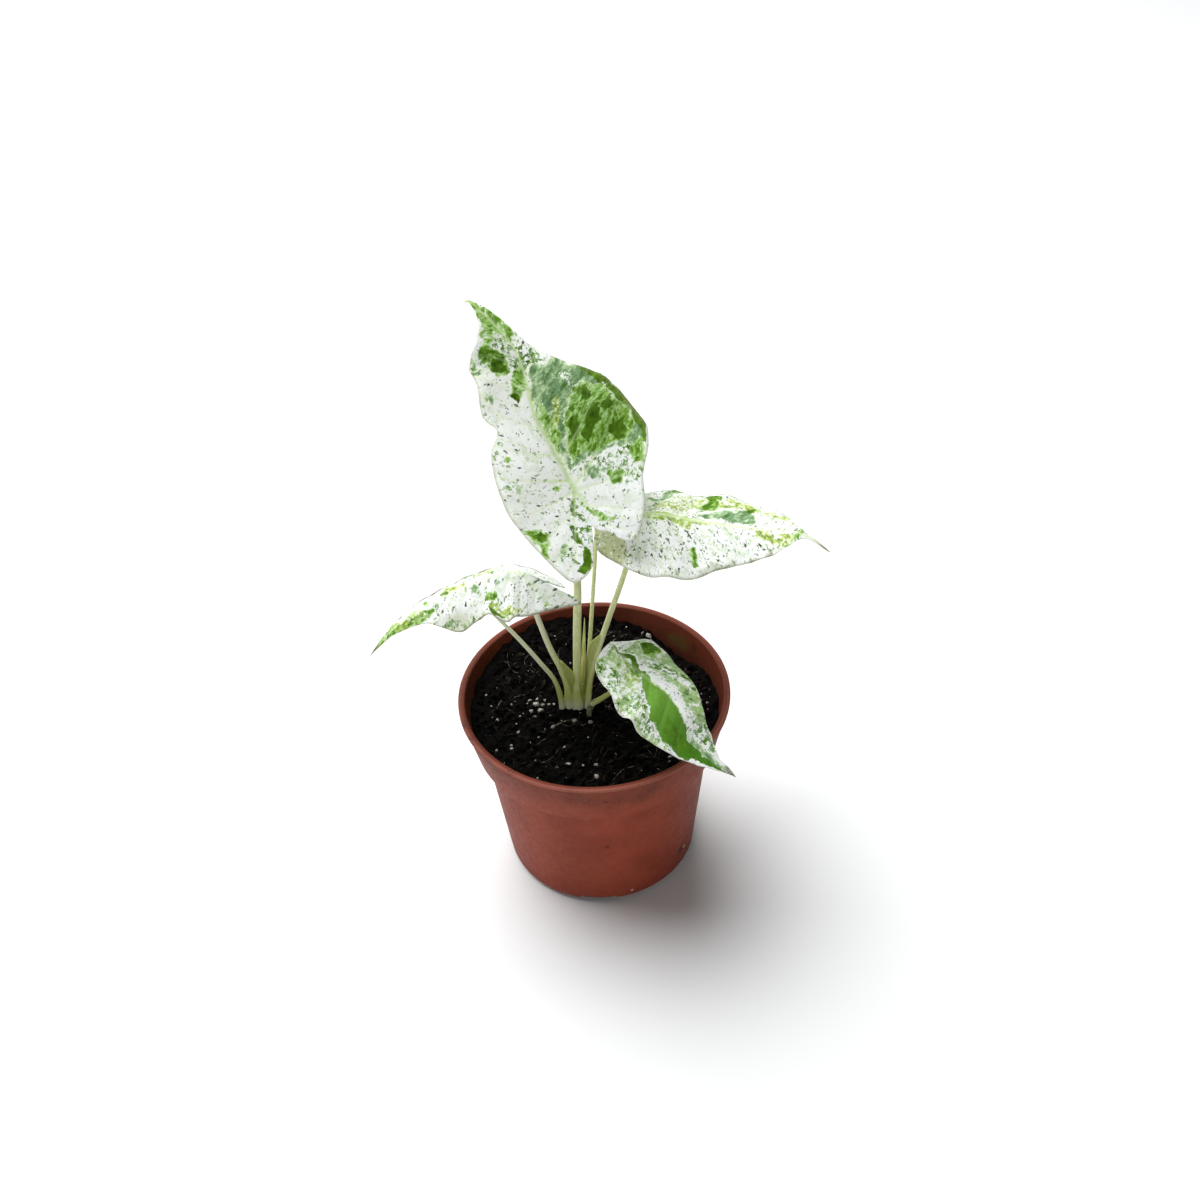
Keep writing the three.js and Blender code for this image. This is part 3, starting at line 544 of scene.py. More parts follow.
def make_piece(name, body, material, nodes=(), attributes=None):
    """A smooth-shaded object from corners in millimetres and faces, riding on the plant's one body."""
    vertices, faces = body
    mesh = bpy.data.meshes.new(name)
    mesh.from_pydata((np.asarray(vertices) * MM).tolist(), [], faces)
    mesh.update()
    for label, values in (attributes or {}).items():
        layer = mesh.attributes.new(label, "FLOAT_VECTOR", "POINT")
        layer.data.foreach_set("vector", np.asarray(values, np.float32).ravel())
    mesh.polygons.foreach_set("use_smooth", [True] * len(mesh.polygons))
    mesh.materials.append(material)
    piece = bpy.data.objects.new(name, mesh)
    bpy.context.scene.collection.objects.link(piece)
    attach(piece, BODY)
    if nodes:
        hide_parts(*nodes)
    return piece


def circle(radius, height, segments):
    """Corners of a level ring about Z."""
    angles = [2 * math.pi * k / segments for k in range(segments)]
    return [(radius * math.cos(angle), radius * math.sin(angle), height) for angle in angles]


def lathe(profile, segments):
    """A body turned about Z from a profile. A profile point on the axis is one corner."""
    vertices = []
    rings = []
    for radius, height in profile:
        start = len(vertices)
        if radius < 1e-6:
            rings.append([start] * segments)
            vertices.append((0, 0, height))
        else:
            rings.append(list(range(start, start + segments)))
            vertices.extend(circle(radius, height, segments))
    faces = []
    for lower, upper in zip(rings, rings[1:]):
        for i in range(segments):
            j = (i + 1) % segments
            unique = list(dict.fromkeys([lower[i], lower[j], upper[j], upper[i]]))
            if len(unique) > 2:
                faces.append(unique)
    return np.array(vertices, float), faces


def round_profile(profile, radius_of, steps=4):
    """The profile with the corners that radius_of names rounded off by short curves."""
    result = []
    shares = np.linspace(0, 1, steps + 1)[:, None]
    for i, point in enumerate(profile):
        if i not in radius_of:
            result.append(point)
            continue
        corner, before, after = (np.array(place, float) for place in (point, profile[i - 1], profile[i + 1]))
        start = corner + unit(before - corner) * radius_of[i]
        end = corner + unit(after - corner) * radius_of[i]
        curve = start * (1 - shares) ** 2 + 2 * corner * shares * (1 - shares) + end * shares ** 2
        result.extend(tuple(place) for place in curve)
    return result


def tube(route, radius_at, sides, steps, shape=None):
    """A closed tube along a route. shape(angle, share) scales the radius."""
    lengths = path_lengths(route)
    shares = np.linspace(0, 1, steps + 1)
    centres = along_path(route, lengths, shares * lengths[-1])
    tangents = unit(np.gradient(centres, axis=0))
    normal = unit(np.cross(tangents[0], (0, 1, 0)))
    vertices = []
    for centre, tangent, share in zip(centres, tangents, shares):
        normal = unit(normal - tangent * np.dot(normal, tangent))
        binormal = np.cross(tangent, normal)
        for k in range(sides):
            angle = 2 * math.pi * k / sides
            radius = radius_at(share) * (shape(angle, share) if shape else 1)
            vertices.append(centre + radius * (normal * math.cos(angle) + binormal * math.sin(angle)))
    faces = grid_faces(steps + 1, sides, closed=True)
    faces.append(list(range(sides))[::-1])
    faces.append([steps * sides + k for k in range(sides)])
    return np.array(vertices), faces


# Materials

MIX_COLOUR_INPUTS = (6, 7)
MIX_COLOUR_OUTPUT = 2


class Look:
    """A node material in the making: its nodes, its shader and the colour mixed so far."""

    def __init__(self, name):
        self.material = bpy.data.materials.new(name)
        self.material.use_nodes = True
        self.tree = self.material.node_tree
        self.shader = self.tree.nodes["Principled BSDF"]
        self.colour = None

    def put(self, socket, value):
        """Gives a socket a value or another node's output."""
        if isinstance(value, bpy.types.NodeSocket):
            self.tree.links.new(value, socket)
        else:
            socket.default_value = (*value, 1) if socket.type == "RGBA" else value

    def node(self, kind, inputs, **settings):
        """The outputs of a new node."""
        node = self.tree.nodes.new("ShaderNode" + kind)
        for key, value in settings.items():
            setattr(node, key, value)
        for key, value in inputs.items():
            self.put(node.inputs[key], value)
        return node.outputs

    def calculate(self, operation, first, second=0):
        """The result of a Math node."""
        return self.node("Math", {0: first, 1: second}, operation=operation)[0]

    def add(self, first, second):
        """The sum of two values."""
        return self.calculate("ADD", first, second)

    def multiply(self, first, second):
        """The product of two values."""
        return self.calculate("MULTIPLY", first, second)

    def weighted(self, first, first_share, second, second_share):
        """The sum of two values, each times its share."""
        return self.add(self.multiply(first, first_share), self.multiply(second, second_share))

    def vector_math(self, operation, first, second):
        """The outputs of a Vector Math node."""
        return self.node("VectorMath", {0: first, 1: second}, operation=operation)

    def stretch(self, vector, scale):
        """A vector scaled by a different amount on each axis."""
        return self.vector_math("MULTIPLY", vector, scale)["Vector"]

    def separate(self, vector):
        """The three numbers of a vector."""
        return list(self.node("SeparateXYZ", {0: vector}))

    def attribute(self, name):
        """The three numbers of a mesh attribute, and the vector itself."""
        vector = self.node("Attribute", {}, attribute_name=name)["Vector"]
        return self.separate(vector) + [vector]

    def object_mm(self):
        """Object coordinates in millimetres."""
        return self.stretch(self.node("TexCoord", {})["Object"], (1 / MM, 1 / MM, 1 / MM))

    def ramp(self, value, low, high, start=0.0, end=1.0):
        """A smooth step from start to end as value goes from low to high."""
        inputs = {"Value": value, "From Min": low, "From Max": high, "To Min": start, "To Max": end}
        return self.node("MapRange", inputs, interpolation_type="SMOOTHSTEP")["Result"]

    def noise(self, vector, scale, detail=3, roughness=0.55, output="Fac"):
        """The value or the colour of a noise texture."""
        inputs = {"Vector": vector, "Scale": scale, "Detail": detail, "Roughness": roughness}
        return self.node("TexNoise", inputs)[output]

    def centred_noise(self, vector, scale, detail, roughness):
        """A noise value about 0."""
        return self.add(self.noise(vector, scale, detail, roughness), -0.5)

    def warp(self, vector, scale, amount):
        """A vector moved unevenly."""
        moves = self.vector_math("SUBTRACT", self.noise(vector, scale, 3, 0.5, "Color"), (0.5, 0.5, 0.5))
        sized = self.stretch(moves["Vector"], (amount, amount, amount))
        return self.vector_math("ADD", vector, sized)["Vector"]

    def cell_number(self, vector, scale):
        """A random number for each cell of a Voronoi pattern."""
        cells = self.node("TexVoronoi", {"Vector": vector, "Scale": scale, "Randomness": 1})
        return self.node("SeparateColor", {0: cells["Color"]})[0]

    def tone_at(self, value, tones):
        """The colour between the tones that value lies between."""
        node = self.tree.nodes.new("ShaderNodeValToRGB")
        self.put(node.inputs[0], value)
        stops = node.color_ramp.elements
        while len(stops) < len(tones):
            stops.new(0.5)
        for stop, (position, tone) in zip(stops, tones):
            stop.position = position
            stop.color = (*LEAF[tone], 1)
        return node.outputs["Color"]

    def mix(self, share, first, second):
        """A colour between first and second. The node has sockets for numbers and vectors before these."""
        colours = dict(zip(MIX_COLOUR_INPUTS, (first, second)))
        return self.node("Mix", {"Factor": share, **colours}, data_type="RGBA")[MIX_COLOUR_OUTPUT]

    def paint(self, share, tint):
        """Mixes a share of a tint into the colour."""
        self.colour = self.mix(share, self.colour, tint)

    def set_shader(self, **settings):
        """Gives the shader's own sockets their values. Their names have spaces for underscores."""
        for key, value in settings.items():
            self.put(self.shader.inputs[key.replace("_", " ")], value)

    def finish(self, height, depth, strength):
        """The material with its colour, and with a bump whose depth is in millimetres."""
        bump = self.node("Bump", {"Height": height, "Distance": depth * MM, "Strength": strength})
        self.set_shader(Base_Color=self.colour, Normal=bump["Normal"])
        return self.material


# Colours of the leaves, and the tones of each kind of tissue from its deepest to its palest: where each
# tone lies, and its colour
LEAF = {
    "white": (0.86, 0.9, 0.86), "cloud": (0.62, 0.71, 0.57), "pale_sage": (0.4, 0.54, 0.34),
    "sage": (0.21, 0.34, 0.18), "teal": (0.1, 0.21, 0.085), "fresh": (0.25, 0.43, 0.1),
    "fresh_pale": (0.42, 0.61, 0.27), "leek": (0.32, 0.46, 0.2), "mint": (0.52, 0.66, 0.38),
    "bright": (0.13, 0.28, 0.018), "mid": (0.07, 0.17, 0.006), "dark": (0.03, 0.1, 0.002),
    "lime": (0.36, 0.47, 0.1), "lime_deep": (0.17, 0.26, 0.02), "lime_pale": (0.55, 0.68, 0.3),
    "speck": (0.06, 0.085, 0.035), "meadow": (0.2, 0.41, 0.06), "meadow_mid": (0.12, 0.3, 0.025),
    # The cream tint also paints leaf 1's shadow on leaf 3's lobe.
    "meadow_deep": (0.05, 0.175, 0.004), "cream_and_shade": (0.52, 0.53, 0.34), "vein": (0.68, 0.8, 0.48),
    # The tail colour also paints shade along curled margins.
    "haze": (0.66, 0.7, 0.72), "edge": (0.13, 0.135, 0.09), "tail": (0.13, 0.12, 0.09),
    "under": (0.6, 0.66, 0.52),
}
WHITE_TONES = [(0, "speck"), (0.035, "speck"), (0.04, "sage"), (0.1, "cloud"), (0.16, "white")]
SAGE_TONES = [(0.1, "mid"), (0.24, "teal"), (0.48, "sage"), (0.62, "pale_sage"), (0.78, "cloud"),
              (0.92, "white")]
GREEN_TONES = [(0.14, "dark"), (0.28, "mid"), (0.44, "bright"), (0.56, "fresh"), (0.7, "fresh_pale"),
               (0.84, "cloud"), (0.95, "white")]
MOTTLE_TONES = [(0.14, "mid"), (0.28, "bright"), (0.4, "sage"), (0.52, "pale_sage"), (0.62, "white")]
PALE_TONES = [(0.16, "mid"), (0.26, "sage"), (0.36, "fresh_pale"), (0.5, "leek"), (0.66, "mint"),
              (0.84, "white")]
DARK_TONES = [(0.25, "dark"), (0.5, "mid"), (0.85, "bright")]
LIME_TONES = [(0.2, "lime_deep"), (0.42, "lime"), (0.6, "lime_pale"), (0.8, "white")]


def leaf_material():
    """Leaf tissue: white splashed with sage, bright and dark green, with fine specks and pale veins, and
    with painted shade on the lobe behind leaf 1 and along curled margins.
    """
    look = Look("leaf_blade")
    dark, bright, sage, _ = look.attribute("greens")
    lime, white, mottle, _ = look.attribute("others")
    midrib, lateral, tip_and_margin_shade, _ = look.attribute("veins")
    fresh, pale, cream_and_shade, _ = look.attribute("smooth")
    specks_share, under, edge, _ = look.attribute("tissue")
    along, _, _, flat = look.attribute("flat")
    flow = look.attribute("flow")[3]

    ragged = look.centred_noise(flat, 0.4, 5, 0.66)
    fine = look.centred_noise(flat, 1.3, 4, 0.62)
    streaks = look.centred_noise(flow, 1.1, 4, 0.6)
    rough_edge = look.weighted(ragged, 1.5, fine, 1.2)
    smooth_edge = look.weighted(ragged, 0.5, fine, 0.35)
    mottled_edge = look.weighted(ragged, 1.4, streaks, 1.4)
    uneven = look.warp(flat, 0.9, 2.2)
    streaky = look.warp(flow, 0.9, 1.1)
    small = look.cell_number(look.stretch(uneven, (0.8, 0.8, 1)), 0.9)
    tiny = look.cell_number(uneven, 1.7)
    drawn_out = look.cell_number(streaky, 1.25)

    def paint_patch(field, border, softness, tint):
        """Paints a field inside its uneven border."""
        look.paint(look.ramp(look.add(field, border), 0.5 - softness, 0.5 + softness), tint)

    def paint_tissue(field, border, softness, tones, lift, cells, noise_share, cell_share, noise_scale):
        """Paints a field with tones that follow streaks and cells, paler by lift where the field is weak."""
        broad = look.centred_noise(streaky, noise_scale, 4, 0.62)
        mixed = look.weighted(broad, noise_share, look.add(cells, -0.5), cell_share)
        middle = look.calculate("SUBTRACT", 0.5 + lift, look.multiply(field, lift))
        paint_patch(field, border, softness, look.tone_at(look.add(mixed, middle), tones))

    specks = look.calculate("DIVIDE", look.calculate("MINIMUM", tiny, drawn_out), specks_share)
    look.colour = look.tone_at(specks, WHITE_TONES)
    look.paint(look.ramp(look.noise(flat, 0.2, 4, 0.62), 0.5, 0.64, 0, 0.6), LEAF["cloud"])
    look.paint(look.ramp(look.noise(uneven, 0.42, 5, 0.66), 0.48, 0.68, 0, 0.38), LEAF["haze"])
    # The cream field also carries leaf 1's painted shadow on leaf 3's lobe.
    look.paint(look.multiply(cream_and_shade, look.ramp(specks, 0.03, 0.045, 0, 0.85)), LEAF["cream_and_shade"])
    paint_tissue(pale, mottled_edge, 0.2, PALE_TONES, 0.2, small, 1.9, 0.42, 0.42)
    paint_tissue(mottle, mottled_edge, 0.1, MOTTLE_TONES, 0, small, 1.2, 0.75, 0.45)
    paint_tissue(sage, rough_edge, 0.1, SAGE_TONES, 0.5, drawn_out, 1.7, 0.25, 0.3)
    paint_tissue(bright, rough_edge, 0.1, GREEN_TONES, 0.6, drawn_out, 1.4, 0.3, 0.36)
    paint_tissue(lime, rough_edge, 0.14, LIME_TONES, 0.1, small, 1.2, 0.55, 0.6)
    meadow = look.mix(look.ramp(along, 24, 62), LEAF["meadow"], LEAF["meadow_deep"])
    meadow = look.mix(look.ramp(streaks, -0.12, 0.16, 0, 0.55), meadow, LEAF["meadow_mid"])
    paint_patch(fresh, mottled_edge, 0.1, meadow)
    paint_tissue(dark, smooth_edge, 0.12, DARK_TONES, 0.3, small, 1.6, 0.3, 0.5)
    paint_patch(white, rough_edge, 0.12, LEAF["white"])
    look.paint(lateral, LEAF["vein"])
    look.paint(midrib, LEAF["vein"])
    look.paint(edge, LEAF["edge"])
    # Paints the brown tip, and painted shade along curled margins, in the tail colour.
    look.paint(tip_and_margin_shade, LEAF["tail"])
    look.paint(look.multiply(under, 0.35), LEAF["under"])
    look.set_shader(Roughness=0.46, Specular_IOR_Level=0.15, Subsurface_Weight=1,
                    Subsurface_Radius=(1, 1, 0.8), Subsurface_Scale=1.4 * MM)
    return look.finish(look.noise(flat, 1.1, 4, 0.6), 0.1, 0.6)


STALK_GREY = (0.6, 0.6, 0.5)


def stalk_material(name, pale, green, ground, start, end, aged=0):
    """Petiole tissue: fine stripes along the stalk, greener towards its foot, pale at the soil."""
    look = Look(name)
    place = look.object_mm()
    across, _, height = look.separate(place)
    stripes = look.noise(look.stretch(place, (2.2, 2.2, 0.06)), 1, 3, 0.6)
    look.colour = look.mix(look.ramp(height, start, end), green, pale)
    look.paint(look.ramp(stripes, 0.42, 0.62, 0, 0.7), green)
    look.paint(look.ramp(look.noise(place, 0.2, 3, 0.6), 0.5, 0.7, 0, 0.35), pale)
    look.paint(look.ramp(across, -14, -24, 0, aged), STALK_GREY)
    look.paint(look.ramp(height, 92, 84), ground)
    look.set_shader(Roughness=0.45, Specular_IOR_Level=0.35, Subsurface_Weight=0.15,
                    Subsurface_Radius=(0.8, 1, 0.4), Subsurface_Scale=0.8 * MM)
    return look.finish(stripes, 0.1, 0.5)


def soil_material(name, dark, brown, share_low, share_high, roughness=0.9, stub=None):
    """Dark, crumbly matter with brown bits, and with another colour above the crown for the stub."""
    look = Look(name)
    place = look.object_mm()
    grains = look.noise(place, 4.5, 3, 0.7)
    look.colour = look.mix(look.ramp(look.noise(place, 0.9, 5, 0.7), share_low, share_high), dark, brown)
    look.paint(look.ramp(grains, 0.62, 0.78, 0, 0.5), brown)
    if stub:
        look.paint(look.ramp(look.separate(place)[2], CROWN_TOP - 1.5, CROWN_TOP, 0, 0.8), stub)
    look.set_shader(Roughness=roughness, Specular_IOR_Level=0.06)
    return look.finish(grains, 0.3, 0.8)


def perlite_material():
    """Expanded white glass grains, a little soiled."""
    look = Look("perlite")
    place = look.object_mm()
    stain = look.noise(place, 1.1, 4, 0.7)
    look.colour = look.mix(look.ramp(stain, 0.42, 0.7), (0.5, 0.47, 0.41), (0.14, 0.115, 0.09))
    look.set_shader(Roughness=0.85)
    return look.finish(look.noise(place, 3.5, 3, 0.6), 0.25, 0.8)


# Marks on the pot: place and radius in millimetres, then the strength of dirt or the colour of a fleck
POT_DIRT = [
    ((-11, -57.5, 88), 4.5, 0.55), ((-3.8, -57.5, 85), 3.4, 0.45), ((8.6, -57, 84), 3, 0.4),
    ((17, -54.3, 82), 3.6, 0.5), ((22, -54, 86), 3, 0.6), ((35.7, -27.8, 14.7), 2.6, 1),
    ((-57, -17.7, 91.5), 3, 0.8), ((-58, 6, 92), 9, 0.5), ((-54, 24, 92), 8, 0.5),
    ((-52.8, -27, 91), 3, 0.7), ((-45, -37, 90), 3.4, 0.6), ((-36, -46, 92), 2.4, 0.5),
    ((47, 31, 87), 2.6, 1),
]
POT_ALGAE = [((41.9, 37.1, 85.4), 6), ((38, 41, 84.5), 4.5)]
CHALK = (0.6, 0.55, 0.5)
SOOT = (0.07, 0.011, 0.004)
POT_FLECKS = [
    ((37.8, -24.6, 13.5), 1.1, CHALK), ((12.5, -42.5, 6), 0.9, CHALK), ((-23.8, -50.9, 93.4), 1.3, CHALK),
    ((35.9, 44.1, 89.7), 0.6, CHALK), ((-26.5, -49.6, 93.2), 0.7, CHALK), ((2.9, -57.6, 84), 1.4, SOOT),
    ((2.2, -48.3, 44.3), 1.5, SOOT), ((-33, -31.6, 19.2), 0.9, SOOT), ((35.7, -27.8, 14.7), 1.9, SOOT),
    ((33.7, -29, 7.7), 1.2, SOOT), ((8.6, -57, 84), 0.8, SOOT), ((-13, -57, 87), 0.9, SOOT),
]
DIRT_BROWN = (0.05, 0.018, 0.008)
ALGAE_GREEN = (0.07, 0.062, 0.012)


def pot_material():
    """Matte terracotta-coloured plastic with a painted highlight along the lip's outer edge, painted shade
    and dirt at its inner edge, an inner wall darkened towards the soil, a collar darkened towards the rim,
    scuffs, soil stains and algae.
    """
    look = Look("pot_plastic")
    place = look.object_mm()
    across, deep, height = look.separate(place)
    around = look.calculate("SQRT", look.add(look.multiply(across, across), look.multiply(deep, deep)))
    mottle = look.noise(place, 0.35, 5, 0.65)
    patch_noise = look.noise(place, 0.8, 5, 0.75)
    scuffs = look.noise(look.stretch(place, (0.5, 0.5, 0.08)), 1, 5, 0.7)
    look.colour = look.mix(look.ramp(look.noise(place, 0.05, 3, 0.5), 0.35, 0.65),
                           (0.2, 0.034, 0.0165), (0.245, 0.0455, 0.0225))
    look.paint(look.ramp(mottle, 0.5, 0.75, 0, 0.3), (0.17, 0.031, 0.0165))
    look.paint(look.ramp(scuffs, 0.6, 0.78, 0, 0.22), (0.29, 0.085, 0.055))

    lip = look.ramp(height, POT_HEIGHT - 1.3, POT_HEIGHT - 0.7)
    # A painted highlight along the lip's outer edge, stronger towards the front.
    lip_highlight = look.multiply(lip, look.ramp(around, RIM_RADIUS - 1.8, RIM_RADIUS - 0.9, 0.1, 0.85))
    look.paint(look.multiply(lip_highlight, look.ramp(deep, 0, -45, 0.3, 1)), (0.52, 0.19, 0.145))
    # Painted shade and dirt at the lip's inner edge, lighter at the front.
    lip_inner_shade_and_dirt = look.multiply(lip, look.ramp(around, RIM_RADIUS - 0.8, RIM_RADIUS - 1.8, 0, 0.7))
    look.paint(look.multiply(lip_inner_shade_and_dirt, look.ramp(deep, -48, -20, 0.15, 1)), (0.06, 0.01, 0.006))

    wall = look.ramp(height, KNEE_HEIGHT, POT_HEIGHT, COLLAR_BOTTOM_RADIUS - WALL, RIM_RADIUS - LIP_WIDTH)
    within = look.calculate("SUBTRACT", wall, around)
    inner = look.multiply(look.ramp(within, -0.7, -0.4), look.ramp(height, KNEE_HEIGHT, KNEE_HEIGHT + 1))
    # Darkens the inner wall, more towards the soil and unevenly.
    inner_darkening = look.add(look.ramp(height, POT_HEIGHT, SOIL_LEVEL, 0.5, 0.95),
                      look.ramp(patch_noise, 0.35, 0.7, -0.2, 0.25))
    look.paint(look.multiply(inner, inner_darkening), (0.03, 0.012, 0.007))
    # Darker up the collar towards the rim.
    look.paint(look.ramp(height, KNEE_HEIGHT, POT_HEIGHT - 4, 0, 0.6), (0.13, 0.028, 0.012))

    def near(centre, outer, inner, strength):
        """A round spot that fades from its inner to its outer radius."""
        return look.ramp(look.vector_math("DISTANCE", place, centre)["Value"], outer, inner, 0, strength)

    for centre, radius, strength in POT_DIRT:
        spot = near(centre, radius * 1.9, radius * 0.3, strength)
        look.paint(look.multiply(spot, look.ramp(patch_noise, 0.42, 0.54)), DIRT_BROWN)
    for centre, radius in POT_ALGAE:
        spot = near(centre, radius, radius * 0.3, 0.8)
        look.paint(look.multiply(spot, look.ramp(patch_noise, 0.38, 0.55)), ALGAE_GREEN)
    for centre, radius, tint in POT_FLECKS:
        look.paint(near(centre, radius, radius * 0.4, 0.85), tint)
    look.set_shader(Roughness=look.ramp(mottle, 0.3, 0.7, 0.5, 0.66), Specular_IOR_Level=0.14)
    return look.finish(look.noise(place, 1.6, 4, 0.6), 0.06, 0.5)


# Pot

def make_pot():
    """The pot: a turned shell with a rounded lip and knee, cut by four drain notches."""
    profile = [
        (0, 0),
        (FOOT_RADIUS, 0),
        (FOOT_RADIUS + 1, WALL_LIFT),
        (BODY_FOOT_RADIUS, WALL_LIFT),
        (BODY_TOP_RADIUS, KNEE_HEIGHT - 0.5),
        (COLLAR_BOTTOM_RADIUS, KNEE_HEIGHT),
        (COLLAR_TOP_RADIUS, POT_HEIGHT - LIP_HEIGHT),
        (RIM_RADIUS, POT_HEIGHT - LIP_HEIGHT),
        (RIM_RADIUS, POT_HEIGHT),
        (RIM_RADIUS - LIP_WIDTH, POT_HEIGHT),
        (COLLAR_BOTTOM_RADIUS - WALL, KNEE_HEIGHT + 0.5),
        (BODY_TOP_RADIUS - WALL, KNEE_HEIGHT - 0.5),
        (BODY_FOOT_RADIUS - WALL, WALL_LIFT + WALL),
        (FOOT_RADIUS - 1, FLOOR_THICKNESS),
        (0, FLOOR_THICKNESS),
    ]
    rounding = {1: 0.8, 3: 0.7, 4: 0.8, 5: KNEE_ROUNDING, 8: LIP_ROUNDING, 9: LIP_ROUNDING * 1.4}
    body = lathe(round_profile(profile, rounding), POT_SEGMENTS)
    pot = make_piece("pot_shell", body, pot_material(), ["pot"])
    for i in range(DRAIN_COUNT):
        cut_drain(pot, math.radians(DRAIN_TURN + 360 * i / DRAIN_COUNT))
    sharp = pot.modifiers.new("edges", "EDGE_SPLIT")
    sharp.split_angle = math.radians(SHARP_ANGLE)
    apply_modifier(pot, sharp)


def cut_drain(pot, turn):
    """Cuts one drain notch out of the pot's bottom corner."""
    bpy.ops.mesh.primitive_cube_add(size=1)
    cutter = bpy.context.object
    cutter.data.transform(Matrix.Diagonal((DRAIN_CUT * MM, DRAIN_WIDTH * MM, DRAIN_HEIGHT * 2 * MM, 1)))
    cutter.data.transform(Matrix.Translation((BODY_FOOT_RADIUS * MM, 0, 0)))
    cutter.data.transform(Matrix.Rotation(turn, 4, "Z"))
    cut = pot.modifiers.new("drain", "BOOLEAN")
    cut.operation = "DIFFERENCE"
    cut.object = cutter
    apply_modifier(pot, cut)
    bpy.data.objects.remove(cutter)


def apply_modifier(piece, modifier):
    """Makes a modifier's result the piece's own mesh."""
    bpy.context.view_layer.objects.active = piece
    bpy.ops.object.modifier_apply(modifier=modifier.name)


# Soil

def hump(turn, middle, spread):
    """Share of a hump that spreads to each side of a direction, in degrees."""
    away = (turn - middle + 540) % 360 - 180
    return math.exp(-((away / spread) ** 2))


def wall_inside(height):
    """Inner radius of the pot's collar at a height."""
    share = (height - KNEE_HEIGHT) / (POT_HEIGHT - KNEE_HEIGHT)
    return COLLAR_BOTTOM_RADIUS - WALL + share * (RIM_RADIUS - LIP_WIDTH - COLLAR_BOTTOM_RADIUS + WALL)


def soil_height(x, y):
    """Height of the crumbly soil surface."""
    turn = math.degrees(math.atan2(y, x))
    edge = (math.hypot(x, y) / wall_inside(SOIL_LEVEL)) ** 3
    rise = SOIL_BACK_RISE * hump(turn, SOIL_BACK_TURN, SOIL_BACK_SPREAD)
    dip = SOIL_DIP * hump(turn, SOIL_DIP_TURN, SOIL_DIP_SPREAD)
    lumps = math.sin(x * 0.47 + 1.3) * math.cos(y * 0.41 - 0.6) + 0.7 * math.sin(x * 0.83 - y * 0.71)
    from_crown = math.hypot(x - CROWN[0], y - CROWN[1])
    heap = SOIL_HEAP * math.exp(-((from_crown / SOIL_HEAP_REACH) ** 2))
    place = Vector((x, y, 0))
    crumble = noise.fractal(place * 0.33, 1.0, 2.1, 5) * SOIL_CRUMBLE
    grit = noise.noise(place * 1.7) * SOIL_GRIT
    return SOIL_LEVEL + edge * (rise - dip) + SOIL_LUMP * lumps + heap + crumble + grit


def make_soil():
    """The soil body with a finely crumbled top."""
    vertices = []
    for ring in range(1, SOIL_RINGS + 1):
        radius = (wall_inside(SOIL_LEVEL) - SOIL_CLEARANCE) * ring / SOIL_RINGS
        for x, y, _ in circle(radius, 0, SOIL_SEGMENTS):
            height = soil_height(x, y)
            out = (wall_inside(height) - SOIL_CLEARANCE) / radius if ring == SOIL_RINGS else 1
            vertices.append((x * out, y * out, height))
    below = [
        (COLLAR_BOTTOM_RADIUS - WALL - SOIL_CLEARANCE, KNEE_HEIGHT + 0.8),
        (BODY_TOP_RADIUS - WALL - SOIL_CLEARANCE, KNEE_HEIGHT - 0.6),
        (BODY_FOOT_RADIUS - WALL - SOIL_CLEARANCE, WALL_LIFT + WALL + SOIL_CLEARANCE),
        (FOOT_RADIUS - 1 - SOIL_CLEARANCE, FLOOR_THICKNESS + SOIL_CLEARANCE),
    ]
    for radius, height in below:
        vertices.extend(circle(radius, height, SOIL_SEGMENTS))
    rings = SOIL_RINGS + len(below)
    centre = len(vertices)
    vertices.append((0, 0, soil_height(0, 0)))
    vertices.append((0, 0, FLOOR_THICKNESS + SOIL_CLEARANCE))
    faces = [face[::-1] for face in grid_faces(rings, SOIL_SEGMENTS, closed=True)]
    last = (rings - 1) * SOIL_SEGMENTS
    for k in range(SOIL_SEGMENTS):
        following = (k + 1) % SOIL_SEGMENTS
        faces.append([centre, k, following])
        faces.append([last + following, last + k, centre + 1])
    material = soil_material("soil", (0.0022, 0.0018, 0.0016), (0.014, 0.01, 0.0075), 0.54, 0.75)
    make_piece("soil_bed", (vertices, faces), material, ["soil"])


def ball(divisions):
    """Corners and faces of a unit ball."""
    bpy.ops.mesh.primitive_ico_sphere_add(subdivisions=divisions, radius=1)
    made = bpy.context.object
    corners = np.array([v.co for v in made.data.vertices])
    faces = [list(p.vertices) for p in made.data.polygons]
    bpy.data.objects.remove(made)
    return corners, faces


def random_turn():
    """A random rotation."""
    axis = Vector((rng.gauss(0, 1), rng.gauss(0, 1), rng.gauss(0, 1))).normalized()
    return np.array(Matrix.Rotation(rng.uniform(0, 2 * math.pi), 3, axis))


def soil_place(margin, keep_off):
    """A random place on the soil, clear of the wall and the stalks."""
    while True:
        x, y = rng.uniform(-58, 58), rng.uniform(-58, 58)
        clear = math.hypot(x - CROWN[0], y - CROWN[1]) > keep_off
        if math.hypot(x, y) < wall_inside(SOIL_LEVEL) - margin and clear:
            return x, y


def scatter(name, grains, divisions, material, lumpiness):
    """Lumpy grains in one mesh. A grain is (x, y, half sizes, sunk share)."""
    corners, faces = ball(divisions)
    bodies = []
    for x, y, sizes, sunk in grains:
        seed = Vector((rng.uniform(-90, 90), rng.uniform(-90, 90), rng.uniform(-90, 90)))
        swell = np.array([1 + lumpiness * noise.noise(Vector(c) * 1.6 + seed) for c in corners])
        grain = (corners * swell[:, None] * np.array(sizes)) @ random_turn().T
        lift = soil_height(x, y) + min(sizes) * (1 - 2 * sunk)
        bodies.append((grain + np.array((x, y, lift)), faces))
    make_piece(name, join(bodies), material)


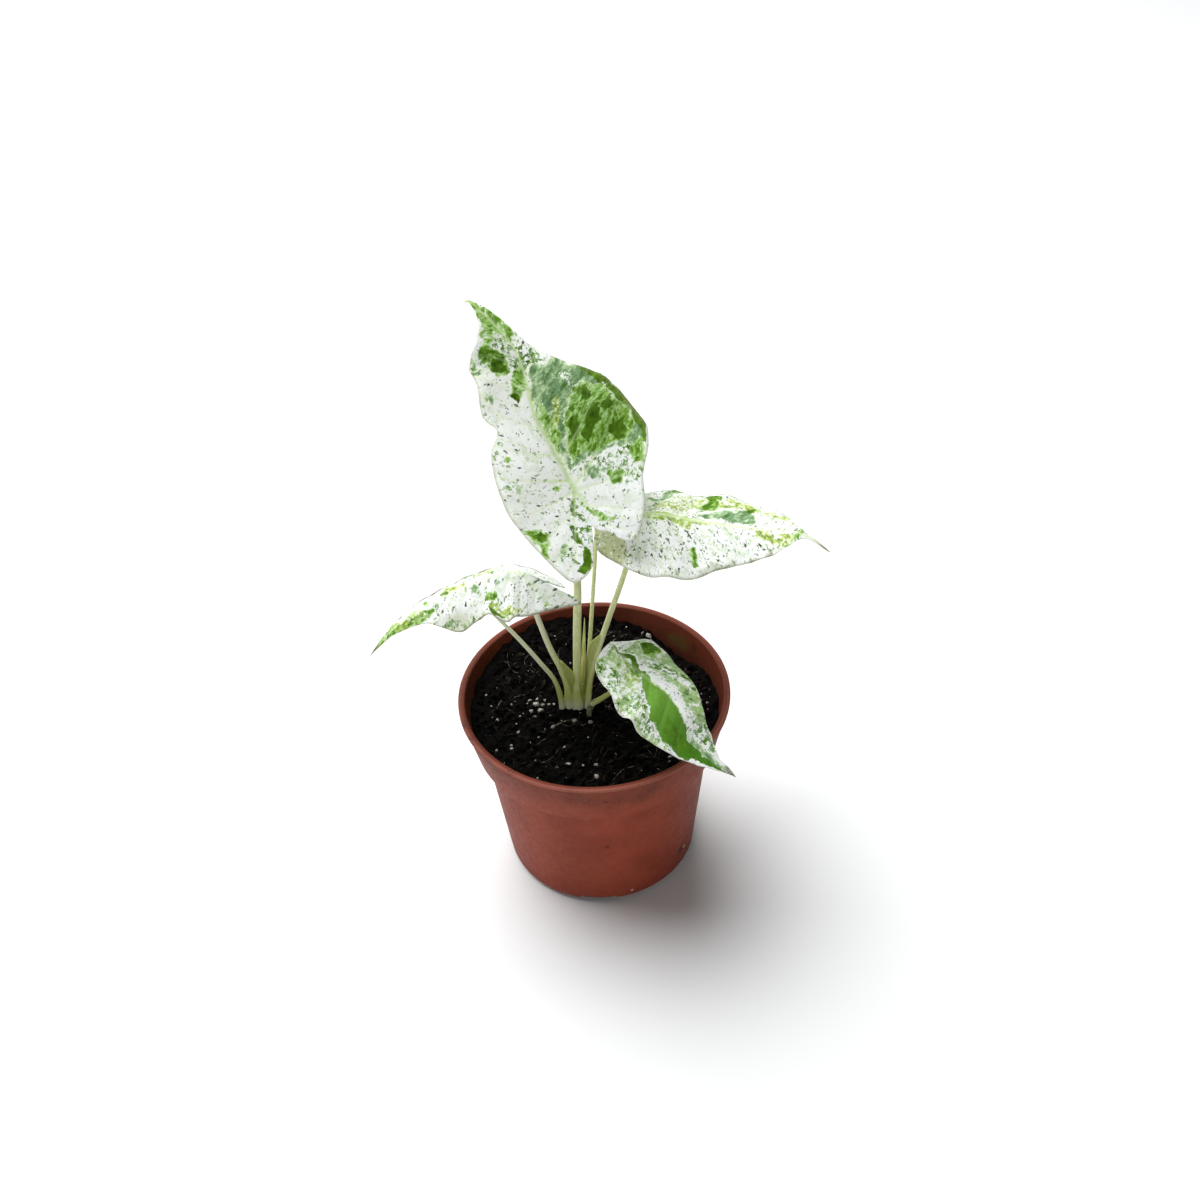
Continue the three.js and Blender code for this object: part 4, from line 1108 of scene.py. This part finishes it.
def make_crumbs():
    """Crumbs of soil over the surface."""
    grains = []
    for _ in range(CRUMB_COUNT):
        x, y = soil_place(margin=2.2, keep_off=5.5)
        size = 0.45 + 1.25 * rng.random() ** 2.2
        sizes = (size, size * rng.uniform(0.55, 1), size * rng.uniform(0.45, 0.9))
        grains.append((x, y, sizes, rng.uniform(0.2, 0.5)))
    material = soil_material("soil_crumb", (0.0022, 0.0019, 0.0017), (0.02, 0.014, 0.0105), 0.54, 0.74)
    scatter("soil_crumbs", grains, 1, material, 0.9)


def make_bark():
    """Flat chips of bark."""
    grains = []
    for _ in range(BARK_COUNT):
        x, y = soil_place(margin=4, keep_off=8)
        length = rng.uniform(1, 3.4)
        sizes = (length, length * rng.uniform(0.2, 0.5), length * rng.uniform(0.08, 0.2))
        grains.append((x, y, sizes, rng.uniform(0.1, 0.4)))
    material = soil_material("bark", (0.006, 0.0045, 0.0036), (0.06, 0.042, 0.032), 0.48, 0.72, 0.75)
    scatter("bark_chips", grains, 2, material, 0.5)


# Perlite grains that stand out: x, y and radius
PERLITE_PLACES = [
    (-28.9, 5.2, 1), (-26.2, 1.2, 1.4), (-24, -2.1, 1.6), (-22.6, 4.8, 1), (-28.4, -2.4, 1),
    (-25.3, 6.2, 1.1), (-23.6, 2, 1.1), (-26.8, -4.6, 1.2), (-6.3, -5.8, 1), (-2, -10.6, 1.2),
    (-18.7, -11.3, 1.1), (-12.1, -34.5, 1.1), (-9.2, -9.4, 1.3), (-0.6, -35.9, 0.9), (-0.4, -43.4, 1.3),
    (7, -27.1, 0.9), (8, -30, 0.6), (31.1, -33.5, 1.2), (-43.4, -7, 1.1), (27, 45, 1.7),
    (16.2, 56.5, 0.9), (24.2, 46.5, 1), (-34, -14, 0.8), (-25, -18, 0.6), (13, -36, 0.7),
]


def make_perlite():
    """White perlite grains, some in named places and the rest strewn."""
    grains = [(x, y, (r, r * 0.8, r * 0.7), 0.35) for x, y, r in PERLITE_PLACES]
    for _ in range(PERLITE_COUNT):
        x, y = soil_place(margin=3, keep_off=9)
        size = 0.16 + 0.62 * rng.random() ** 3.2
        grains.append((x, y, (size, size * 0.85, size * 0.7), rng.uniform(0.2, 0.55)))
    scatter("perlite_grains", grains, 2, perlite_material(), 0.7)


PALE_STICK = [(-18.2, -12.2), (-14, -10.4), (-8, -8.6)]
STICK_RADIUS = 0.36


def make_fibres():
    """Thin root and bark fibres lying on the soil, a stick and every fourth fibre pale."""
    stick = smooth_curve([(x, y, soil_height(x, y) + 1) for x, y in PALE_STICK], 12)
    groups = {"soil_fibres": [], "pale_fibres": [(stick, STICK_RADIUS)]}
    for number in range(FIBRE_COUNT):
        x, y = soil_place(margin=9, keep_off=9)
        heading = rng.uniform(0, 2 * math.pi)
        length = rng.uniform(4, 13)
        bend = rng.uniform(-0.9, 0.9)
        route = []
        for share in np.arange(6) / 5 - 0.5:
            angle = heading + bend * share
            px, py = x + math.cos(angle) * length * share, y + math.sin(angle) * length * share
            route.append((px, py, soil_height(px, py) + rng.uniform(0.2, 0.9)))
        group = "pale_fibres" if number % 4 == 0 else "soil_fibres"
        groups[group].append((smooth_curve(route, 4), rng.uniform(0.1, 0.24)))
    materials = {
        "soil_fibres": soil_material("fibre", (0.012, 0.009, 0.007), (0.07, 0.05, 0.036), 0.45, 0.7, 0.7),
        "pale_fibres": soil_material("pale_fibre", (0.06, 0.048, 0.036), (0.26, 0.23, 0.18), 0.4, 0.62, 0.7),
    }
    for name, fibres in groups.items():
        bodies = [tube(route, lambda share, r=radius: r * (1.05 - share * 0.6), sides=6, steps=16)
                  for route, radius in fibres]
        make_piece(name, join(bodies), materials[name])


# Leaf blades

class BladeShape:
    """Puts a flat blade on its spine, and knows its veins."""

    def __init__(self, leaf):
        self.leaf = leaf
        self.curve = smooth_curve(leaf["spine"])
        self.lengths = path_lengths(self.curve)
        self.behind = self.lengths[STEPS_PER_SPAN]
        self.total = self.lengths[-1]
        self.length = self.total - self.behind
        near = np.exp(-((self.lengths[:, None] - self.lengths) / TURN_SMOOTHING) ** 2)
        self.tangents = unit(near @ unit(np.gradient(self.curve, axis=0)))

    def fold(self, out):
        """How far each half rises from the midrib, as an angle."""
        left = self.leaf["fold"]
        return np.radians(np.where(out < 0, self.leaf.get("right_fold", left), left))

    def lift(self, along, out):
        """Height of the blade above its midrib's plane."""
        leaf = self.leaf
        outward = np.abs(out) / leaf["half_width"]
        height, wavelength, start = leaf["wave"]
        turn = 2 * math.pi * along / wavelength + math.radians(start)
        lift = np.abs(out) * np.sin(self.fold(out)) - leaf["curl"] * leaf["half_width"] * outward ** 2
        lift = lift + height * np.minimum(outward, WAVE_LIMIT) ** 2 * np.sin(turn)
        if "dip" in leaf:
            middle, reach, begin, full, depth = leaf["dip"]
            hang = depth * smoothstep(out, begin, full) * np.exp(-(((along - middle) / reach) ** 2))
            lift = lift - np.where(out > 0, hang, 0)
        return lift

    def place(self, along, out):
        """Points of the mid surface."""
        travel = along + self.behind
        held = np.clip(travel, 0, self.total)
        spine = along_path(self.curve, self.lengths, held)
        tangent = unit(along_path(self.tangents, self.lengths, held))
        level = unit(np.stack([-tangent[..., 1], tangent[..., 0], np.zeros_like(held)], axis=-1))
        up = np.cross(tangent, level)
        rolls = self.leaf["roll"]
        roll = np.radians(np.interp(held / self.total, np.linspace(0, 1, len(rolls)), rolls))[..., None]
        across = level * np.cos(roll) - up * np.sin(roll)
        facing = up * np.cos(roll) + level * np.sin(roll)
        beyond = (travel - held)[..., None]
        return (spine + tangent * beyond + across * (out * np.cos(self.fold(out)))[..., None]
                + facing * self.lift(along, out)[..., None])

    def facing(self, along, out):
        """Directions that the upper face looks in."""
        reach = 0.4
        forward = self.place(along + reach, out) - self.place(along - reach, out)
        leftward = self.place(along, out + reach) - self.place(along, out - reach)
        return unit(np.cross(forward, leftward))

    def stations(self, side):
        """One half's ribs as (along at the midrib, along and out at the margin)."""
        leaf = self.leaf
        outline = leaf["left"] if side > 0 else leaf["right"]
        dense = smooth_curve([(self.length, 0)] + [(a, side * o) for a, o in outline] + [leaf["sinus"]])
        lengths = path_lengths(dense)
        margin = along_path(dense, lengths, np.linspace(0, lengths[-1], MARGIN_SAMPLES))
        turn_at = int(np.argmax(margin[:, 0] <= leaf["fan_from"]))
        straight = round(leaf["ribs"] * STRAIGHT_RIB_SHARE)
        alongs = self.length + (leaf["fan_from"] - self.length) * np.arange(straight) / straight
        reached = [max(int(np.argmax(margin[:, 0] <= a)), 1) for a in alongs]
        straight_rows = [(a, a, margin[at, 1]) for a, at in zip(alongs, reached)]
        straight_rows[0] = (self.length, self.length, 0)
        fan = np.linspace(turn_at, len(margin) - 1, leaf["ribs"] - straight + 1).round().astype(int)
        return straight_rows + [(leaf["fan_from"], *margin[at]) for at in fan]

    def veins(self):
        """Side veins as flat lines of points, with the width of each."""
        lines = []
        lobe = -min(a for a, _ in self.leaf["left"] + self.leaf["right"])
        for side in (1, -1):
            shift = 0.03 if side > 0 else 0
            for share in (0.02, 0.15, 0.29, 0.43, 0.57, 0.7, 0.82):
                start = ((share + shift) * self.length, 0)
                lines.append((self.vein(start, 66 - 26 * share, 0.5, 46, side), 0.75 - 0.4 * share))
            if lobe > LOBE_WITH_VEINS:
                basal = self.vein((0, 0), 157, -0.35, lobe * 0.95, side)
                lines.append((basal, 0.8))
                lines.append((self.vein((0, 0), 98, 0.45, 40, side), 0.6))
                for share, heading in ((0.3, 120), (0.55, 128), (0.78, 138)):
                    start = basal[int(share * (len(basal) - 1))]
                    lines.append((self.vein((start[0], abs(start[1])), heading, 0.4, 30, side), 0.5))
        return lines

    def vein(self, start, heading, bend, length, side, steps=14):
        """A flat line that leaves start at a heading, in degrees, and bends towards the tip."""
        angles = np.radians(heading - bend * np.linspace(0, length, steps))
        step = length / (steps - 1)
        along = start[0] + np.concatenate([[0], np.cumsum(np.cos(angles[:-1]) * step)])
        out = start[1] + np.concatenate([[0], np.cumsum(np.sin(angles[:-1]) * step)])
        return np.stack([along, side * out], axis=1)


def distance_to_line(points, line, closed=False):
    """Distance of flat points to a line of points, and the share of the line where each is nearest."""
    best = np.full(len(points), np.inf)
    where = np.zeros(len(points))
    ends = np.roll(line, -1, axis=0) if closed else line[1:]
    for i, (start, end) in enumerate(zip(line, ends)):
        span = end - start
        share = np.clip(((points - start) @ span) / max(span @ span, 1e-9), 0, 1)
        away = np.linalg.norm(points - start - share[:, None] * span, axis=1)
        closer = away < best
        best[closer] = away[closer]
        where[closer] = (i + share[closer]) / (len(line) - 1)
    return best, where


def distance_inside(outline, along, out):
    """Distance of flat points to a closed outline, positive inside it."""
    ring = np.array(outline, float)
    nearest, _ = distance_to_line(np.stack([along, out], axis=1), ring, closed=True)
    inside = np.zeros(len(along), bool)
    for start, end in zip(ring, np.roll(ring, -1, axis=0)):
        span = end - start
        if span[1]:
            passes = (start[1] > out) != (end[1] > out)
            inside ^= passes & (along < start[0] + (out - start[1]) * span[0] / span[1])
    return np.where(inside, nearest, -nearest)


def wandered(along, out, seed):
    """Flat points moved a little, so that outlines read there have an uneven edge."""
    moved = []
    for a, o in zip(along, out):
        broad = noise.noise_vector(Vector((a * 0.16, o * 0.16, seed)))
        close = noise.noise_vector(Vector((a * 0.5, o * 0.5, seed + 9)))
        moved.append((a + 2.0 * broad.x + 0.9 * close.x, o + 2.0 * broad.y + 0.9 * close.y))
    return np.array(moved).T


def zone_field(leaf, kind, along, out):
    """How strongly a kind of colour covers each point: the zone's strength well inside its outline."""
    field = np.zeros_like(along)
    for strength, outline in ZONES.get((leaf["name"], kind), []):
        inside = distance_inside(outline, along, out)
        field = np.maximum(field, strength * smoothstep(inside, -ZONE_SOFTNESS, ZONE_SOFTNESS))
    return field


def blade_relief(shape, along, out):
    """Height of the upper face, and of the lower face, with the shares of midrib and side veins."""
    leaf = shape.leaf
    taper = np.clip(along / shape.length, 0, 1)
    midrib_width = leaf["midrib"] * (1.25 - 0.95 * taper)
    behind_joint = smoothstep(-along, 0, 4)
    midrib = np.exp(-(out / midrib_width) ** 2) * (1 - behind_joint)
    groove = np.zeros_like(along)
    lateral = np.zeros_like(along)
    nearest = np.abs(out) + 6 * behind_joint
    vein_width = 0.32 + 0.55 * np.exp(-np.hypot(along, out) / 11)
    flat = np.stack([along, out], axis=1)
    for line, width in shape.veins():
        away, where = distance_to_line(flat, line)
        strength = width * (1.1 - where)
        groove = np.maximum(groove, strength * np.exp(-(away / 0.9) ** 2))
        lateral = np.maximum(lateral, strength * np.exp(-(away / vein_width) ** 2))
        nearest = np.minimum(nearest, away)
    quilt = 1 - np.exp(-((nearest / 4.5) ** 2))
    relief = QUILT_HEIGHT * quilt - GROOVE_DEPTH * groove - MIDRIB_DEPTH * midrib
    rib = leaf["midrib"] * (1.5 - 1.2 * taper) * np.exp(-(out / (midrib_width * 1.05)) ** 2)
    return relief, relief - 0.45 * groove - rib * (1 - behind_joint), midrib, lateral


def blade_shades(shape, number, along, out, midrib, lateral):
    """The attributes that the leaf's colours are read from, apart from those of its two faces."""
    leaf = shape.leaf
    moved = wandered(along, out, number)
    fields = {kind: zone_field(leaf, kind, *moved) for kind in ZONE_KINDS}
    tail = leaf["tail"] * smoothstep(along, shape.length - TAIL_LENGTH, shape.length - TAIL_LENGTH * 0.4)
    turn = math.radians(FLOW_TURN)
    flow = FLOW_STRETCH * (along * math.cos(turn) + np.abs(out) * math.sin(turn))
    cross = np.abs(out) * math.cos(turn) - along * math.sin(turn)
    seed = np.full(len(along), SEED_SPACING * number)
    return {
        "greens": [fields["dark"], fields["bright"], fields["sage"]],
        "others": [fields["lime"], fields["white"], fields["mottle"]],
        "flat": [along, out, seed],
        "flow": [flow, cross, seed + np.sign(out)],
        # The third vein value is the brown tip together with the painted margin shade.
        "veins": [midrib * leaf["rib_tint"], lateral * leaf["vein_tint"], np.maximum(tail, fields["margin_shade"])],
        "smooth": [fields["fresh"], fields["pale"], fields["cream_and_shade"]],
    }


def make_blade(leaf, number, material):
    """A leaf blade with veins in relief, as a closed thin body."""
    shape = BladeShape(leaf)
    columns = leaf["columns"]
    shares = np.linspace(0, 1, columns + 1) ** 0.9
    halves = []
    for side in (1, -1):
        rib, tip, reach = np.array(shape.stations(side), float).T[..., None]
        halves.append(np.stack([rib + (tip - rib) * shares, reach * shares, shares + 0 * reach], axis=-1))
    along, out, inward = np.vstack([half.reshape(-1, 3) for half in halves]).T
    count = len(along)
    relief, below, midrib, lateral = blade_relief(shape, along, out)
    middle = shape.place(along, out)
    facing = shape.facing(along, out)
    edge = inward ** 10
    half_thick = (BLADE_THICKNESS * (1 - edge) + MARGIN_THICKNESS * edge) / 2
    top = middle + facing * (half_thick + relief)[:, None]
    under = middle + facing * (below - half_thick)[:, None]

    shades = blade_shades(shape, number, along, out, midrib, lateral)
    attributes = {label: np.tile(np.stack(values, axis=1), (2, 1)) for label, values in shades.items()}
    specks = np.full(count, leaf["specks"])
    margin = leaf["edge"][0] * smoothstep(inward, leaf["edge"][1], 1)
    attributes["tissue"] = np.vstack([np.stack([specks, np.full(count, flag), margin], axis=1)
                                      for flag in (0.0, 1.0)])
    faces = []
    start = 0
    for side, half in zip((1, -1), halves):
        rows, width = half.shape[:2]
        rim = [start + row * width + columns for row in range(rows)]
        skin = both_sides(grid_faces(rows, width, start), count)
        skin.extend([a, a + count, b + count, b] for a, b in zip(rim, rim[1:]))
        faces.extend(face[::side] for face in skin)
        start += rows * width
    body, attributes = weld(np.vstack([top, under]), faces, attributes)
    name = leaf["name"]
    make_piece(f"{name}_tissue", body, material, [f"{name}_blade"], attributes)


# Petioles, sheaths, new leaf and rootstock

def petiole_line(route, end=()):
    """The smooth centre line of a petiole, from below the soil."""
    foot = np.array(route[0], float) - (0, 0, PETIOLE_SUNK)
    return smooth_curve([foot, *route, *end], STALK_STEPS_PER_SPAN, centripetal=True)


def make_petiole(entry, material):
    """A petiole with a shallow channel, widened where it meets the blade and at its foot."""
    name, base_radius, top_radius, foot_swell, route = entry
    shape = BladeShape(next(leaf for leaf in LEAVES if leaf["name"] == name))
    zero = np.zeros(1)
    joint = shape.place(zero, zero)[0] - shape.facing(zero, zero)[0] * (BLADE_THICKNESS * 0.6 + 0.9)
    centre = petiole_line(route, [joint])
    length = path_lengths(centre)[-1]

    def radius_at(share):
        height = share * length - PETIOLE_SUNK
        radius = base_radius + (top_radius - base_radius) * share
        flare = 0.3 * smoothstep(share, 0.96, 0.985) + foot_swell * smoothstep(-height, -FOOT_HEIGHT, 0)
        closing = 1 - 0.7 * smoothstep(share, 0.985, 1)
        return radius * float((1 + flare) * closing)

    def channel(angle, share):
        ribs = 0.012 * math.sin(9 * angle + 3 * share)
        dent = 0.1 * math.exp(-((angle - math.pi) / 0.55) ** 2) * (1 - share * 0.4)
        return 1 + ribs - dent

    body = tube(centre, radius_at, PETIOLE_SIDES, PETIOLE_STEPS, channel)
    make_piece(f"{name}_stalk", body, material, [f"{name}_petiole"])


def make_sheath(entry, material):
    """The wing of a petiole's foot, thick at the petiole and thin at its margin, ending in a small horn."""
    name, base_radius, _, foot_swell, route = entry
    sheath = SHEATHS[name]
    centre = petiole_line(route)
    lengths = path_lengths(centre)
    heights, reaches = zip(*sheath["reach"])
    columns = SHEATH_COLUMNS
    shares = np.linspace(0, 1, columns + 1)
    top = heights[-1]
    front, back = [], []
    for height in np.linspace(heights[0], top, SHEATH_STEPS + 1):
        point = along_path(centre, lengths, np.array(height + PETIOLE_SUNK))
        reach = np.interp(height, heights, reaches)
        foot = 1 + foot_swell * float(smoothstep(-height, -FOOT_HEIGHT, 0))
        thick = SHEATH_EDGE + (base_radius * 0.9 * foot - SHEATH_EDGE) * (1 - shares) ** 1.2
        horn = sheath["horn"] * smoothstep(height, top - 4, top) * np.exp(-((shares - 0.75) / 0.3) ** 2)
        pleat = 0.1 * np.sin(shares * 22 + height * 0.12) * shares
        for rows, turn in ((front, -1), (back, 1)):
            across = point[0] + sheath["side"] * reach * shares
            deep = point[1] - sheath["bow"] * shares ** 2 + turn * thick + pleat
            rows.append(np.stack([across, deep, point[2] + horn], axis=1))
    width = columns + 1
    count = width * (SHEATH_STEPS + 1)
    rim = [row * width for row in range(SHEATH_STEPS + 1)]
    rim += [SHEATH_STEPS * width + column for column in range(1, width)]
    rim += [row * width + columns for row in range(SHEATH_STEPS - 1, -1, -1)]
    rim += list(range(columns - 1, 0, -1))
    faces = both_sides(grid_faces(SHEATH_STEPS + 1, width), count)
    faces.extend([a, b, b + count, a + count] for a, b in zip(rim, rim[1:] + rim[:1]))
    body = np.array([front, back]).reshape(-1, 3), [face[::sheath["side"]] for face in faces]
    make_piece(f"{name}_sheath", body, material)


def make_spike(material):
    """The rolled new leaf, with the edge of the roll winding up it."""
    def radius_at(share):
        return SPIKE_RADIUS * (1 - share ** 2.2) + SPIKE_TIP_RADIUS

    def rolled(angle, share):
        turn = (angle - 4.2 * share + math.pi) % (2 * math.pi)
        return 0.86 + 0.2 * turn / (2 * math.pi)

    route = smooth_curve(SPIKE_ROUTE, STALK_STEPS_PER_SPAN, centripetal=True)
    body = tube(route, radius_at, sides=40, steps=110, shape=rolled)
    make_piece("new_leaf_roll", body, material, ["new_leaf_spike"])


def make_rootstock(material):
    """The short stem, with leaf scars and the stub of a fallen leaf."""
    profile = [(0, 54.6), (5, 56), (8, 63), (CROWN_RADIUS, 75), (CROWN_RADIUS, CROWN_SHOULDER)]
    for share in np.linspace(0, 1, 12)[1:]:
        radius = CROWN_RADIUS * math.cos(share * math.pi / 2) if share < 1 else 0
        rise = (CROWN_TOP + 0.6 - CROWN_SHOULDER) * math.sin(share * math.pi / 2)
        profile.append((radius, CROWN_SHOULDER + rise))
    vertices, faces = lathe(profile, segments=96)
    for vertex in vertices:
        lump = noise.noise(Vector(vertex) * 0.5) * 0.35
        scar = 0.25 * math.sin(math.hypot(vertex[0], vertex[1]) * 3.1)
        if vertex[2] > SCARS_ABOVE:
            vertex[2] += lump + scar - CROWN_BURIED
    vertices += (*CROWN, 0)
    stub_route = smooth_curve([(*STUB, 81), (*STUB, 84), (STUB[0] + 0.1, STUB[1], STUB_TOP)], 10)
    stub = tube(stub_route, lambda share: STUB_RADIUS * (1.05 - 0.2 * share), sides=20, steps=30,
                shape=lambda angle, share: 1 + 0.08 * math.sin(5 * angle + 6 * share))
    make_piece("rootstock_crown", join([(vertices, faces), stub]), material, ["rootstock"])


def make_plant():
    """Rootstock, stalks, sheaths, new leaf and blades."""
    stalk = stalk_material("petiole", (0.66, 0.69, 0.4), (0.46, 0.5, 0.14), (0.7, 0.73, 0.5), 88, 122, 0.65)
    sheath = stalk_material("sheath", (0.42, 0.47, 0.16), (0.27, 0.32, 0.06), (0.64, 0.68, 0.42), 92, 112)
    new_leaf = stalk_material("new_leaf", (0.62, 0.62, 0.2), (0.2, 0.24, 0.03), (0.3, 0.3, 0.16), 94, 116)
    crown = soil_material("rootstock", (0.05, 0.04, 0.025), (0.16, 0.13, 0.075), 0.4, 0.62, 0.8,
                          (0.22, 0.26, 0.15))
    blade = leaf_material()
    make_rootstock(crown)
    make_spike(new_leaf)
    for entry in PETIOLES:
        make_petiole(entry, stalk)
        if entry[0] in SHEATHS:
            make_sheath(entry, sheath)
    for number, leaf in enumerate(LEAVES, 1):
        make_blade(leaf, number, blade)


# Camera, floor and light

def make_camera():
    """The camera of the photographed view."""
    right, up = Vector(CAMERA_RIGHT).normalized(), Vector(CAMERA_UP).normalized()
    data = bpy.data.cameras.new("camera")
    data.lens = CAMERA_LENS
    data.sensor_width = CAMERA_SENSOR
    data.clip_start = 0.01
    camera = bpy.data.objects.new("camera", data)
    turn = Matrix([right, up, right.cross(up)]).transposed().to_4x4()
    camera.matrix_world = Matrix.Translation(Vector(CAMERA_EYE) * MM) @ turn
    bpy.context.scene.collection.objects.link(camera)
    bpy.context.scene.camera = camera


def make_floor():
    """A plain pale floor."""
    half = 6
    corners = [(-half, -half, 0), (half, -half, 0), (half, half, 0), (-half, half, 0)]
    mesh = bpy.data.meshes.new("floor")
    mesh.from_pydata(corners, [], [(0, 1, 2, 3)])
    look = Look("floor")
    look.set_shader(Base_Color=(0.885, 0.9, 0.905), Roughness=0.9, Specular_IOR_Level=0.1)
    mesh.materials.append(look.material)
    floor = bpy.data.objects.new("floor", mesh)
    bpy.context.scene.collection.objects.link(floor)


def make_light():
    """A large soft light from the upper left and behind, with an even white surround."""
    scene = bpy.context.scene
    scene.view_settings.view_transform = "Standard"
    world = bpy.data.worlds.new("surround")
    world.use_nodes = True
    background = world.node_tree.nodes["Background"]
    background.inputs["Color"].default_value = (1, 1, 1, 1)
    background.inputs["Strength"].default_value = 0.105
    scene.world = world
    add_soft_light("key", (-0.62, 0.8, 1.95), size=2.5, power=89)
    add_soft_light("fill", (-0.6, -2.2, 0.5), size=1, power=14.2)


def add_soft_light(name, place, size, power):
    """A round soft light that looks at the plant."""
    data = bpy.data.lights.new(name, "AREA")
    data.shape = "DISK"
    data.size = size
    data.energy = power
    light = bpy.data.objects.new(name, data)
    light.location = place
    light.rotation_euler = (Vector((0, 0, 0.12)) - light.location).to_track_quat("-Z", "Y").to_euler()
    bpy.context.scene.collection.objects.link(light)


make_camera()
make_floor()
make_light()
make_pot()
make_soil()
make_crumbs()
make_bark()
make_perlite()
make_fibres()
make_plant()
